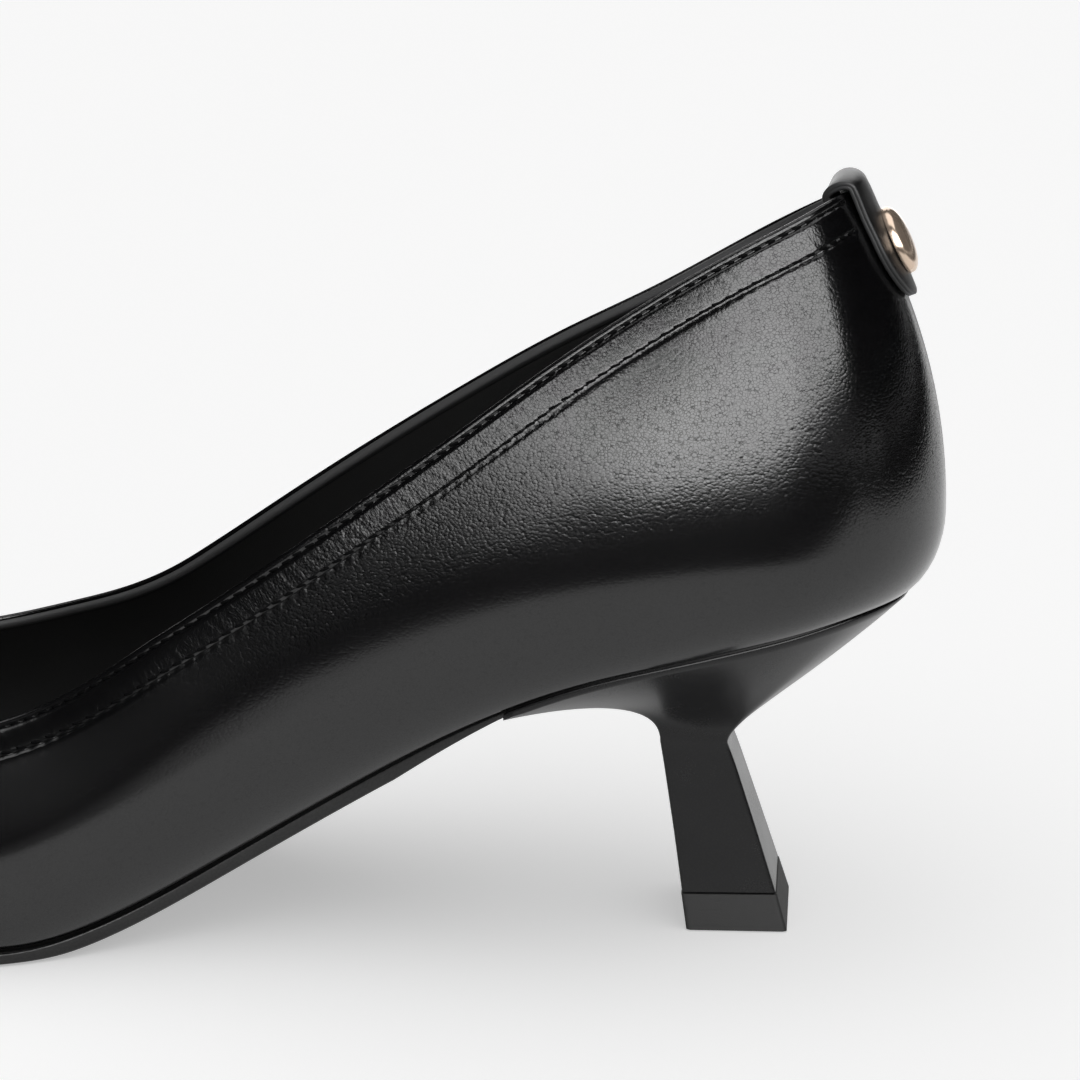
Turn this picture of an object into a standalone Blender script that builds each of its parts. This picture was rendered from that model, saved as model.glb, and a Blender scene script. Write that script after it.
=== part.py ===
# A right court shoe on a sculpted mid heel.
# The toe points to -X, the inner side of the foot faces -Y, and the shoe stands on Z = 0.
# Sizes are in millimetres. A distance along the foot starts at the back of the heel.

import math
from collections import namedtuple

import bmesh
import bpy
import numpy as np
from mathutils import Vector

MM = 0.001
PART_NAME = "court_shoe"

SHOE_LENGTH = 242.0
HEEL_AXIS = 28.0
HEEL_BLEND = 24.0
TOE_START = 200.0
THROAT = 174.0
THROAT_START = 145.0
VAMP_BLEND = (120.0, 152.0)
FEATHER_ANGLE = 25.0
BELLY_SHARE = 0.3
FIT_GAP = 0.3

UPPER_WALL = 1.8
INSOLE_THICKNESS = 1.6
INSOLE_INSET = 2.2
INSOLE_TOE_ROOM = 7.0
SOLE_THICKNESS = 2.7
SOLE_BREAST_THICKNESS = 0.8
SOLE_FULL_AT = 84.0
SOLE_BEVEL_SHARE = 0.25

HEEL_BREAST = 67.0
HEEL_INSET = 0.3
HEEL_LIP = 0.6
TONGUE_LIP = 1.1
LIP_RUN = 0.33
STEM_CORNER = 0.68
LIFT_EDGE = 0.4

TAB_WIDTH = 18.6
TAB_THICKNESS = 1.35
TAB_LOW_EDGE = 101.3
TAB_END_ROUND = 8.5
TAB_INSIDE = 12.0
FOLD_MIDDLE = 1.5
FOLD_SIDE = 0.5
STUD_HEIGHT_ON_BACK = 108.9
STUD_GAP = 0.1
STUD_DIAMETER = 10.8
STUD_RISE = 2.5
STUD_RIM = 0.5

# Sections of the last. The heel rows turn about the heel axis and give the angle from the back,
# the other rows give the distance along the foot. Half widths are given for the inner and outer side.
LAST_COLUMNS = (
    "station", "feather_z", "feather_in", "feather_out", "belly_z", "belly_in", "belly_out",
    "centre", "roundness",
)
HEEL_ROWS = (
    (0, 55.7, 23.1, 23.1, 67.3, 28.0, 28.0, 0.0, 1.0),
    (45, 55.2, 22.3, 22.3, 67.2, 28.0, 28.0, 0.0, 1.0),
)
FOOT_ROWS = (
    (28, 51.4, 22.0, 22.3, 66.5, 28.5, 28.8, 0.0, 1.0),
    (40, 48.6, 22.7, 23.0, 65.5, 28.8, 29.2, 0.0, 1.0),
    (55, 44.4, 22.2, 23.0, 62.5, 28.6, 29.4, 0.0, 1.1),
    (70, 38.0, 20.7, 22.9, 57.5, 28.1, 29.6, 0.0, 1.2),
    (90, 26.6, 19.7, 24.2, 47.5, 27.8, 31.2, 0.0, 1.5),
    (110, 14.8, 21.7, 27.8, 35.5, 29.2, 34.4, 0.0, 1.8),
    (130, 4.9, 27.2, 33.0, 23.0, 32.8, 38.0, 0.0, 2.0),
    (140, 2.55, 31.2, 35.4, 18.3, 34.9, 39.4, -0.1, 2.0),
    (150, 2.45, 34.0, 37.0, 15.3, 36.3, 40.0, -0.3, 2.0),
    (165, 2.5, 35.0, 37.2, 13.2, 36.4, 39.4, -0.9, 2.0),
    (180, 3.3, 32.0, 33.6, 12.6, 33.6, 35.4, -1.8, 2.0),
    (200, 5.0, 25.2, 25.6, 12.3, 26.4, 26.8, -3.1, 2.0),
    (215, 6.7, 18.0, 18.0, 12.2, 18.9, 18.9, -4.0, 2.0),
    (228, 8.2, 11.6, 11.6, 12.0, 12.2, 12.2, -4.6, 2.0),
    (237, 9.2, 6.2, 6.2, 11.9, 6.6, 6.6, -4.9, 2.0),
    (242, 9.6, 0.0, 0.0, 11.7, 0.0, 0.0, -5.0, 2.0),
)

# The topline, from the centre back round to the throat.
TOPLINE_COLUMNS = ("station", "half_in", "half_out", "z_in", "z_out")
TOPLINE_HEEL_ROWS = (
    (0, 12.7, 12.7, 118.2, 118.2),
    (45, 15.0, 15.0, 118.8, 115.2),
)
TOPLINE_ROWS = (
    (28, 19.0, 19.0, 114.0, 107.8),
    (45, 20.3, 20.3, 104.6, 98.2),
    (60, 21.7, 21.7, 94.5, 90.2),
    (75, 23.1, 23.1, 83.3, 81.2),
    (90, 24.2, 24.2, 72.3, 71.5),
    (105, 24.8, 24.8, 61.6, 61.3),
    (120, 25.0, 25.0, 51.4, 50.8),
    (135, 25.3, 25.2, 42.2, 42.2),
    (150, 26.2, 25.4, 37.0, 38.9),
    (160, 23.4, 22.8, 36.6, 37.7),
    (168, 16.2, 16.2, 37.4, 37.9),
    (174, 0.0, 0.0, 38.6, 38.6),
)

# The ridge of the vamp down to the tip. Behind the throat it is where the cut-away top would be.
RIDGE_COLUMNS = ("station", "z")
RIDGE_ROWS = (
    (120, 57.5),
    (135, 51.3),
    (150, 45.8),
    (162, 42.2),
    (174, 38.6),
    (187, 34.3),
    (200, 29.6),
    (215, 24.2),
    (228, 19.8),
    (237, 16.2),
    (242, 11.8),
)

# How far the sole stands out past the feather line.
SOLE_EDGE_COLUMNS = ("station", "proud")
SOLE_EDGE_ROWS = ((67, -0.6), (95, -0.3), (130, 0.6), (160, 1.0), (242, 1.0))

# The stem of the heel from its waist down, and the lift below it: front and back face, and half widths.
Block = namedtuple("Block", "z front back half_front half_back")
STEM_ROWS = (
    Block(30.0, 43.6, 33.0, 6.2, 6.0),
    Block(26.0, 42.9, 31.5, 6.5, 6.3),
    Block(16.0, 41.3, 28.2, 7.6, 7.2),
    Block(6.0, 39.8, 25.0, 9.1, 8.4),
)
LIFT_ROWS = (
    Block(5.7, 39.9, 24.8, 9.3, 8.5),
    Block(0.0, 39.0, 23.1, 10.3, 9.8),
)

# How the underside of the seat runs into the waist, at the front edge (0), the flanks and the back (1).
Flare = namedtuple("Flare", "round inward rise shoulder")
FLARE_ROWS = (
    Flare(0.0, 0.43, 4.0, 7.5),
    Flare(0.4, 0.50, -0.5, 4.5),
    Flare(1.0, 0.50, -1.5, 1.5),
)

# Steps of the mesh.
HEEL_STEPS = 7
WALL_STEPS = 14
THROAT_STEPS = 6
VAMP_STEPS = 4
TOE_STEPS = 7
LOW_STEPS = 4
HIGH_STEPS = 8
ACROSS_STEPS = 4
FLARE_STEPS = 6
TAB_ACROSS = 12
TAB_LEG_STEPS = 5
TAB_FOLD_STEPS = 6
STUD_PROFILE_STEPS = 6
STUD_ROUND_STEPS = 28
LIFT_EDGE_STEPS = 2
SLOPE_STEP = 0.3
SETTLE_ROUNDS = 8

# Angles past which an edge shows as a corner, and the distance that closes the stud at its axis.
SMOOTH_ANGLE = 40
SOLE_SMOOTH_ANGLE = 30
HEEL_SMOOTH_ANGLE = 50
STUD_MERGE = 0.01

INNER = -1
OUTER = 1


class Curve:
    """A smooth curve through the rows of a table, level at its first row and free at its last."""

    def __init__(self, stations, values):
        self.x = np.array(stations, float)
        self.y = np.array(values, float)
        count = len(self.x)
        step = np.diff(self.x)
        slope = np.diff(self.y) / step
        left = np.eye(count)
        right = np.zeros(count)
        left[0, :2] = 2 * step[0], step[0]
        right[0] = 6 * slope[0]
        for i in range(1, count - 1):
            left[i, i - 1:i + 2] = step[i - 1], 2 * (step[i - 1] + step[i]), step[i]
            right[i] = 6 * (slope[i] - slope[i - 1])
        self.bend = np.linalg.solve(left, right)

    def __call__(self, station):
        i = int(np.clip(np.searchsorted(self.x, station) - 1, 0, len(self.x) - 2))
        step = self.x[i + 1] - self.x[i]
        a = (self.x[i + 1] - station) / step
        b = 1 - a
        straight = a * self.y[i] + b * self.y[i + 1]
        curved = (a ** 3 - a) * self.bend[i] + (b ** 3 - b) * self.bend[i + 1]
        return straight + curved * step * step / 6


def stretched(distance, start, end):
    """Distance along the foot, drawn out towards a round end so that a width can close there."""
    if distance <= start:
        return distance
    length = end - start
    return start + 2 * length * (1 - math.sqrt(max(end - distance, 0) / length))


def heel_station(angle):
    return HEEL_AXIS - HEEL_AXIS * math.radians(90 - angle)


def curves(columns, heel_rows, rows, start, end):
    """One curve for each column of a table after its station."""
    stations = [heel_station(row[0]) for row in heel_rows]
    stations += [stretched(row[0], start, end) for row in rows]
    table = list(zip(*(list(heel_rows) + list(rows))))
    return {name: Curve(stations, table[i]) for i, name in enumerate(columns) if i}


LAST = curves(LAST_COLUMNS, HEEL_ROWS, FOOT_ROWS, TOE_START, SHOE_LENGTH)
TOPLINE = curves(TOPLINE_COLUMNS, TOPLINE_HEEL_ROWS, TOPLINE_ROWS, THROAT_START, THROAT)
RIDGE = curves(RIDGE_COLUMNS, (), RIDGE_ROWS, TOE_START, SHOE_LENGTH)["z"]
SIDE_NAME = {INNER: "in", OUTER: "out"}


def lerp(a, b, share):
    return a + (b - a) * share


def last(column, station):
    """A column of the last at a station: an angle station behind the heel axis, a distance ahead of it."""
    return LAST[column](stretched(station, TOE_START, SHOE_LENGTH))


def smooth(low, high, value):
    share = min(max((value - low) / (high - low), 0), 1)
    return share * share * (3 - 2 * share)


def topline(side, station):
    """Half width and height of the top of a section: the topline, or the ridge ahead of the throat."""
    ridge = RIDGE(stretched(station, TOE_START, SHOE_LENGTH))
    if station >= THROAT:
        return 0.0, ridge
    where = stretched(station, THROAT_START, THROAT)
    name = SIDE_NAME[side]
    half = TOPLINE["half_" + name](where)
    belly_z = last("belly_z", station)
    reach = math.sqrt(1 - (half / last("belly_" + name, station)) ** last("roundness", station))
    on_vamp = belly_z + (ridge - belly_z) * reach
    return half, lerp(TOPLINE["z_" + name](where), on_vamp, smooth(*VAMP_BLEND, station))


def section_plane(station):
    """Where a section's plane starts on the foot's axis, and how far it has turned from the back."""
    share = min(max((station - HEEL_AXIS) / HEEL_BLEND + 0.5, 0), 1)
    past = max(station - HEEL_AXIS - HEEL_BLEND / 2, 0)
    axis = HEEL_AXIS + HEEL_BLEND * (share ** 3 - share ** 4 / 2) + past
    turn = (station - heel_station(0) - axis + HEEL_AXIS) / HEEL_AXIS
    return axis, turn


def placed(side, station, half, z):
    """The point at a half width and height on a section. Round the heel the sections fan out."""
    axis, turn = section_plane(station)
    sideways = last("centre", station) + side * half * math.sin(turn)
    return np.array([axis - half * math.cos(turn), sideways, z])


def wall_width(side, station, z):
    """Half width of the upper above its belly, at a height on a section."""
    belly = last("belly_" + SIDE_NAME[side], station)
    belly_z = last("belly_z", station)
    roundness = last("roundness", station)
    top_half, top_z = topline(side, station)
    cut = 1 - (top_half / belly) ** roundness
    rise = (z - belly_z) / (top_z - belly_z)
    return belly * max(1 - cut * rise * rise, 0) ** (1 / roundness)


def upper_point(side, station, share):
    """A point of the upper's outside, from the feather line (0) past the belly to the top edge (1)."""
    name = SIDE_NAME[side]
    belly = last("belly_" + name, station)
    belly_z = last("belly_z", station)
    if share <= BELLY_SHARE:
        first = math.radians(FEATHER_ANGLE)
        turn = lerp(first, math.pi / 2, share / BELLY_SHARE)
        inset = (belly - last("feather_" + name, station)) * (1 - math.sin(turn)) / (1 - math.sin(first))
        drop = (belly_z - last("feather_z", station)) * math.cos(turn) / math.cos(first)
        return placed(side, station, belly - inset, belly_z - drop)
    top_half, top_z = topline(side, station)
    roundness = last("roundness", station)
    reach = math.sqrt(1 - (top_half / belly) ** roundness) if belly > 0 else 1.0
    turn = math.asin(reach) * (share - BELLY_SHARE) / (1 - BELLY_SHARE)
    half = belly * max(math.cos(turn), 0) ** (2 / roundness)
    return placed(side, station, half, belly_z + (top_z - belly_z) * math.sin(turn) / reach)


def spread(start, end, steps):
    return [lerp(start, end, i / steps) for i in range(steps)]


def closing(start, end, steps):
    """Distances that draw together towards a round end."""
    return [end - (end - start) * (1 - i / steps) ** 2 for i in range(steps)]


STATIONS = (
    spread(heel_station(0), HEEL_AXIS, HEEL_STEPS)
    + spread(HEEL_AXIS, THROAT_START, WALL_STEPS)
    + closing(THROAT_START, THROAT, THROAT_STEPS)
    + spread(THROAT, TOE_START, VAMP_STEPS)
    + closing(TOE_START, SHOE_LENGTH, TOE_STEPS)
    + [SHOE_LENGTH]
)
SOLE_PROUD = curves(SOLE_EDGE_COLUMNS, (), SOLE_EDGE_ROWS, TOE_START, SHOE_LENGTH)["proud"]
HEEL_BACK_X = (SHOE_LENGTH + SOLE_EDGE_ROWS[-1][1]) / 2
WIDEST_IN = max(last("belly_in", station) - last("centre", station) for station in STATIONS)
WIDEST_OUT = max(last("belly_out", station) + last("centre", station) for station in STATIONS)
SIDE_SHIFT = (WIDEST_OUT - WIDEST_IN) / 2


def world(point):
    """Shoe millimetres (distance along the foot, sideways, height) to metres in the part's frame."""
    along, sideways, z = point
    return (HEEL_BACK_X - along) * MM, (sideways - SIDE_SHIFT) * MM, z * MM


def finish(name, mesh, material, smooth_angle=SMOOTH_ANGLE):
    """A named object with its material, in the shoe's collection."""
    mesh.materials.append(material)
    mesh.shade_smooth()
    mesh.set_sharp_from_angle(angle=math.radians(smooth_angle))
    obj = bpy.data.objects.new(name, mesh)
    bpy.data.collections[PART_NAME].objects.link(obj)
    return obj


def mesh_of(name, build):
    """A mesh filled by a function that works on a bmesh."""
    bm = bmesh.new()
    build(bm)
    mesh = bpy.data.meshes.new(name)
    bm.to_mesh(mesh)
    bm.free()
    return mesh


def face(bm, corners):
    """A face through the corners, leaving out repeats where a grid closes to a point."""
    kept = [v for i, v in enumerate(corners) if v not in corners[:i]]
    if len(kept) > 2:
        bm.faces.new(kept)


def loft(bm, rings):
    """A closed body through rings of points, capped at both ends."""
    loops = [[bm.verts.new(world(point)) for point in ring] for ring in rings]
    for loop, after in zip(loops, loops[1:]):
        for i in range(len(loop)):
            j = (i + 1) % len(loop)
            face(bm, [loop[i], loop[j], after[j], after[i]])
    face(bm, loops[0])
    face(bm, loops[-1])
    bmesh.ops.recalc_face_normals(bm, faces=bm.faces)


def material(name, colour, roughness, metallic=0.0):
    made = bpy.data.materials.new(name)
    made.use_nodes = True
    shader = made.node_tree.nodes["Principled BSDF"]
    shader.inputs["Base Color"].default_value = (*colour, 1)
    shader.inputs["Roughness"].default_value = roughness
    shader.inputs["Metallic"].default_value = metallic
    return made


def make_upper(finish_material):
    """One wall from the feather line to the topline, closed over the vamp and the toe."""
    shares = [BELLY_SHARE * i / LOW_STEPS for i in range(LOW_STEPS)]
    shares += [lerp(BELLY_SHARE, 1, i / HIGH_STEPS) for i in range(HIGH_STEPS + 1)]
    last_column = len(STATIONS) - 1

    def build(bm):
        grid = {}
        for i, station in enumerate(STATIONS):
            for j, share in enumerate(shares):
                both = i in (0, last_column) or (station >= THROAT and share == 1)
                for side in (INNER, OUTER):
                    if both and side == OUTER:
                        grid[side, i, j] = grid[INNER, i, j]
                    else:
                        grid[side, i, j] = bm.verts.new(world(upper_point(side, station, share)))
        for side in (INNER, OUTER):
            for i in range(last_column):
                for j in range(len(shares) - 1):
                    corners = [grid[side, i, j], grid[side, i, j + 1]]
                    corners += [grid[side, i + 1, j + 1], grid[side, i + 1, j]]
                    face(bm, corners if side == INNER else corners[::-1])

    upper = finish("upper", mesh_of("upper", build), finish_material)
    wall = upper.modifiers.new("wall", "SOLIDIFY")
    wall.thickness = UPPER_WALL * MM
    wall.offset = -1
    return upper


def inset_width(side, station, inset):
    """Half width of the feather line, drawn in square to its own direction."""
    column = "feather_" + SIDE_NAME[side]
    rise = last(column, station + SLOPE_STEP) - last(column, station - SLOPE_STEP)
    slope = rise / (2 * SLOPE_STEP) if station > HEEL_AXIS else 0
    return last(column, station) - inset * math.hypot(1, slope)


def make_insole(finish_material):
    """The board and sock inside the upper, from the heel seat to the toe."""
    rings = []
    for station in STATIONS[1:]:
        if station > SHOE_LENGTH - INSOLE_TOE_ROOM:
            continue
        low = last("feather_z", station)
        high = low + INSOLE_THICKNESS
        inner = placed(INNER, station, inset_width(INNER, station, INSOLE_INSET), low)
        outer = placed(OUTER, station, inset_width(OUTER, station, INSOLE_INSET), low)
        rings.append([tuple(inner), tuple(outer), (*outer[:2], high), (*inner[:2], high)])
    mesh = mesh_of("insole", lambda bm: loft(bm, rings))
    return finish("insole", mesh, finish_material)


def sole_top(station):
    return last("feather_z", station) - FIT_GAP


def sole_ring(station):
    """The sole across the foot: its thickness, its bevelled lower edges and a flat tread on the floor."""
    share = min((station - HEEL_BREAST) / (SOLE_FULL_AT - HEEL_BREAST), 1)
    top = sole_top(station)
    low = max(top - lerp(SOLE_BREAST_THICKNESS, SOLE_THICKNESS, share), 0)
    bevel = (top - low) * SOLE_BEVEL_SHARE
    proud = SOLE_PROUD(stretched(station, TOE_START, SHOE_LENGTH))
    along = station + proud * max(station - TOE_START, 0) / (SHOE_LENGTH - TOE_START)
    centre = last("centre", station)
    inner = centre - last("feather_in", station) - proud
    outer = centre + last("feather_out", station) + proud
    return [
        (along, inner, top), (along, outer, top),
        (along, outer, low + bevel), (along, outer - bevel, low),
        (along, inner + bevel, low), (along, inner, low + bevel),
    ]


def make_outsole(finish_material):
    """The sole from the heel breast to the toe."""
    stations = [HEEL_BREAST + FIT_GAP] + [s for s in STATIONS if s > HEEL_BREAST + 1]
    mesh = mesh_of("outsole", lambda bm: loft(bm, [sole_ring(s) for s in stations]))
    return finish("outsole", mesh, finish_material, SOLE_SMOOTH_ANGLE)


def stem_point(back_share, across, z):
    """A point on the stem: from its front face (0) to its back face (1), and from side to side."""
    heights = [row.z for row in STEM_ROWS[::-1]]
    at = Block(*(np.interp(z, heights, column[::-1]) for column in zip(*STEM_ROWS)))
    along = lerp(at.front, at.back, back_share)
    return np.array([along, across * lerp(at.half_front, at.half_back, back_share), z])


def flare_at(share):
    """The flare part way round from the front edge to the back."""
    columns = list(zip(*FLARE_ROWS))
    return Flare(*(np.interp(share, columns[0], column) for column in columns))


def rim_point(side, station):
    half = last("feather_" + SIDE_NAME[side], station) - HEEL_INSET
    return placed(side, station, half, sole_top(station))


def heel_columns(seat):
    """Columns round the heel: the rim point, where each lands on the stem, and how far round it is."""
    columns = []
    inner, outer = rim_point(INNER, HEEL_BREAST), rim_point(OUTER, HEEL_BREAST)
    for i in range(ACROSS_STEPS + 1):
        share = i / ACROSS_STEPS
        columns.append((lerp(outer, inner, share), 0.0, lerp(OUTER, INNER, share), 0.0))
    flank = []
    for station in seat[1:]:
        share = (HEEL_BREAST - station) / (HEEL_BREAST - heel_station(0))
        along_side = min(share / STEM_CORNER, 1)
        across = 1 - max(share - STEM_CORNER, 0) / (1 - STEM_CORNER)
        flank.append((station, along_side, across, share))
    for station, along_side, across, share in flank:
        columns.append((rim_point(INNER, station), along_side, INNER * across, share))
    for station, along_side, across, share in flank[-2::-1]:
        columns.append((rim_point(OUTER, station), along_side, OUTER * across, share))
    return columns


def heel_column_points(rim, back_share, across, share):
    """One line down the heel: rim, lip, the flare to the waist, and the stem to its foot."""
    lip = lerp(TONGUE_LIP, HEEL_LIP, min(share / LIP_RUN, 1))
    start = rim - np.array([0, 0, lip])
    waist = stem_point(back_share, across, STEM_ROWS[0].z)
    flare = flare_at(share)
    first = lerp(start, waist, flare.inward) + np.array([0, 0, flare.rise])
    second = waist + np.array([0, 0, flare.shoulder])
    points = [rim, start]
    for i in range(1, FLARE_STEPS):
        t = i / FLARE_STEPS
        u = 1 - t
        points.append(u ** 3 * start + 3 * u * u * t * first + 3 * u * t * t * second + t ** 3 * waist)
    return points + [stem_point(back_share, across, row.z) for row in STEM_ROWS]


def make_heel(finish_material):
    """Seat and tongue on top, a flared underside, a narrow waist and a stem with flat faces."""
    seat = [HEEL_BREAST] + [station for station in STATIONS[::-1] if station < HEEL_BREAST - 1]
    columns = heel_columns(seat)

    def build(bm):
        lines = [[bm.verts.new(world(p)) for p in heel_column_points(*column)] for column in columns]
        for i, line in enumerate(lines):
            beside = lines[(i + 1) % len(lines)]
            for j in range(len(line) - 1):
                face(bm, [line[j], beside[j], beside[j + 1], line[j + 1]])
        face(bm, [line[-1] for line in lines])
        front = [line[0] for line in lines[:ACROSS_STEPS + 1]]
        rungs = [front]
        for i in range(1, len(seat)):
            inner = lines[ACROSS_STEPS + i][0]
            outer = lines[-i][0] if i < len(seat) - 1 else inner
            rung = [outer]
            for k in range(1, ACROSS_STEPS):
                middle = outer.co.lerp(inner.co, k / ACROSS_STEPS)
                rung.append(inner if inner is outer else bm.verts.new(middle))
            rungs.append(rung + [inner])
        for rung, after in zip(rungs, rungs[1:]):
            for k in range(ACROSS_STEPS):
                face(bm, [rung[k], rung[k + 1], after[k + 1], after[k]])
        bmesh.ops.recalc_face_normals(bm, faces=bm.faces)

    return finish("heel", mesh_of("heel", build), finish_material, HEEL_SMOOTH_ANGLE)


def make_top_lift(finish_material):
    """The lift under the stem: a block that widens to the floor, with its edges taken off."""
    rings = []
    for row in LIFT_ROWS[::-1]:
        rings.append([
            (row.front, -row.half_front, row.z), (row.back, -row.half_back, row.z),
            (row.back, row.half_back, row.z), (row.front, row.half_front, row.z),
        ])
    lift = finish("top_lift", mesh_of("top_lift", lambda bm: loft(bm, rings)), finish_material)
    edge = lift.modifiers.new("edges", "BEVEL")
    edge.width = LIFT_EDGE * MM
    edge.segments = LIFT_EDGE_STEPS
    return lift


def back_station(sideways, z):
    """The station whose section crosses the back of the upper at a sideways offset and a height."""
    side = INNER if sideways < 0 else OUTER
    angle = 0.0
    for _ in range(SETTLE_ROUNDS):
        width = wall_width(side, heel_station(math.degrees(angle)), z)
        angle = math.asin(min(abs(sideways) / width, 1))
    return side, heel_station(math.degrees(angle))


def back_point(sideways, z):
    side, station = back_station(sideways, z)
    return placed(side, station, wall_width(side, station, z), z)


def back_edge(sideways):
    """Height of the topline at a sideways offset from the centre back."""
    z = TOPLINE_HEEL_ROWS[0][3]
    for _ in range(SETTLE_ROUNDS):
        side, station = back_station(sideways, z)
        z = topline(side, station)[1]
    return z


def back_frame(sideways, z):
    """Point, outward direction and upward direction on the back of the upper."""
    point = back_point(sideways, z)
    up = point - back_point(sideways, z - SLOPE_STEP)
    across = back_point(sideways + SLOPE_STEP, z) - back_point(sideways - SLOPE_STEP, z)
    up /= np.linalg.norm(up)
    out = np.cross(up, across)
    return point, out / np.linalg.norm(out), up


def tab_path(share):
    """The tab's inner face in one plane, from side (-1) to side (1): up the back, over and down inside."""
    sideways = share * TAB_WIDTH / 2
    past = max(abs(sideways) - TAB_WIDTH / 2 + TAB_END_ROUND, 0)
    end_rise = TAB_END_ROUND - math.sqrt(TAB_END_ROUND ** 2 - past ** 2)
    edge = back_edge(sideways)
    path = []
    for z in spread(TAB_LOW_EDGE + end_rise, edge, TAB_LEG_STEPS):
        point, out, up = back_frame(sideways, z)
        path.append(point + out * FIT_GAP)
    point, out, up = back_frame(sideways, edge)
    middle = point - out * UPPER_WALL / 2
    width = UPPER_WALL / 2 + FIT_GAP
    height = lerp(FOLD_MIDDLE, FOLD_SIDE, share ** 2)
    for i in range(TAB_FOLD_STEPS + 1):
        turn = math.pi * i / TAB_FOLD_STEPS
        path.append(middle + out * width * math.cos(turn) + up * height * math.sin(turn))
    for z in spread(edge - TAB_INSIDE + end_rise, edge, TAB_LEG_STEPS)[::-1]:
        point, out, up = back_frame(sideways, z)
        path.append(point - out * (UPPER_WALL + FIT_GAP))
    return path


def make_heel_tab(finish_material):
    """A strip of leather with round ends, folded over the topline at the centre back."""
    def build(bm):
        lines = []
        for i in range(TAB_ACROSS + 1):
            path = tab_path(math.sin(math.pi / 2 * lerp(-1, 1, i / TAB_ACROSS)))
            lines.append([bm.verts.new(world(point)) for point in path])
        for line, beside in zip(lines, lines[1:]):
            for j in range(len(line) - 1):
                face(bm, [line[j], beside[j], beside[j + 1], line[j + 1]])

    tab = finish("heel_tab", mesh_of("heel_tab", build), finish_material)
    body = tab.modifiers.new("thickness", "SOLIDIFY")
    body.thickness = TAB_THICKNESS * MM
    body.offset = 1
    return tab


def make_tab_stud(finish_material):
    """A domed stud turned about its own axis and set square on the back of the tab."""
    radius = STUD_DIAMETER / 2

    def build(bm):
        profile = [(0, STUD_RISE)]
        for i in range(1, STUD_PROFILE_STEPS + 1):
            turn = math.pi / 2 * i / STUD_PROFILE_STEPS
            profile.append((radius * math.sin(turn), STUD_RIM + (STUD_RISE - STUD_RIM) * math.cos(turn)))
        profile += [(radius, 0), (0, 0)]
        verts = [bm.verts.new((x * MM, 0, z * MM)) for x, z in profile]
        for a, b in zip(verts, verts[1:]):
            bm.edges.new((a, b))

    stud = finish("tab_stud", mesh_of("tab_stud", build), finish_material)
    turned = stud.modifiers.new("turned", "SCREW")
    turned.steps = STUD_ROUND_STEPS
    turned.render_steps = STUD_ROUND_STEPS
    turned.use_merge_vertices = True
    turned.merge_threshold = STUD_MERGE * MM
    point, out, up = back_frame(0, STUD_HEIGHT_ON_BACK)
    base = point + out * (FIT_GAP + TAB_THICKNESS + STUD_GAP)
    stud.location = world(base)
    stud.rotation_euler = Vector((-out[0], out[1], out[2])).to_track_quat("Z", "X").to_euler()
    return stud


def main():
    for obj in list(bpy.data.objects):
        bpy.data.objects.remove(obj, do_unlink=True)
    shoe = bpy.data.collections.new(PART_NAME)
    bpy.context.scene.collection.children.link(shoe)
    make_upper(material("black_calf", (0.012, 0.012, 0.013), 0.42))
    make_insole(material("black_sock", (0.014, 0.013, 0.013), 0.6))
    make_outsole(material("sole_leather", (0.010, 0.010, 0.010), 0.5))
    make_heel(material("heel_lacquer", (0.010, 0.010, 0.011), 0.35))
    make_top_lift(material("lift_rubber", (0.022, 0.022, 0.022), 0.6))
    make_heel_tab(material("tab_leather", (0.014, 0.014, 0.015), 0.45))
    make_tab_stud(material("pale_gold", (0.80, 0.62, 0.38), 0.2, 1.0))


main()
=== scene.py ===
import math

import bmesh
import bpy
import numpy as np
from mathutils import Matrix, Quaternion, Vector, kdtree
from mathutils.bvhtree import BVHTree


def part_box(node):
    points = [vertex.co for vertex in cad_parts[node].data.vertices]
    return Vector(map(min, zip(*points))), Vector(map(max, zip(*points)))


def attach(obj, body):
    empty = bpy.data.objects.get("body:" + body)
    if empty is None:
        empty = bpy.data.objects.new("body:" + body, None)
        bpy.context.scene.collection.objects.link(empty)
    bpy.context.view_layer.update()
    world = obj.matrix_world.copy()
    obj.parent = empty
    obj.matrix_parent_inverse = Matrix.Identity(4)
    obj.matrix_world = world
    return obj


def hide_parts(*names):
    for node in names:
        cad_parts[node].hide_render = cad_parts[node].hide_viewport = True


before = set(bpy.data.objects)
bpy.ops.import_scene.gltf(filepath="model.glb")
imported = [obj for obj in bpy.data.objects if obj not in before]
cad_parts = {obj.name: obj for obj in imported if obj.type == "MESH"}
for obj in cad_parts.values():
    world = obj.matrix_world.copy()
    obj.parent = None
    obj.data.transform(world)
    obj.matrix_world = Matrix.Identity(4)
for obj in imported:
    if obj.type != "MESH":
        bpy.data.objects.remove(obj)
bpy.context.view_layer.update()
print("frame loaded:", ", ".join(sorted(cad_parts)))

mm = 0.001
inner, outer = -1, 1  # the two sides of the foot
sideName = {inner: "In", outer: "Out"}

# the last, in millimetres; distances along the foot start at the back of the heel
lastSizes = {
    "length": 242.0,
    "heelAxis": 28.0,
    "heelBlend": 24.0,
    "toeStart": 200.0,
    "throat": 174.0,
    "throatStart": 145.0,
    "vampBlend": (120.0, 152.0),
    "featherAngle": 25.0,
    "bellyShare": 0.3,
    "wall": 1.8,
    "gap": 0.3,
}
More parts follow.
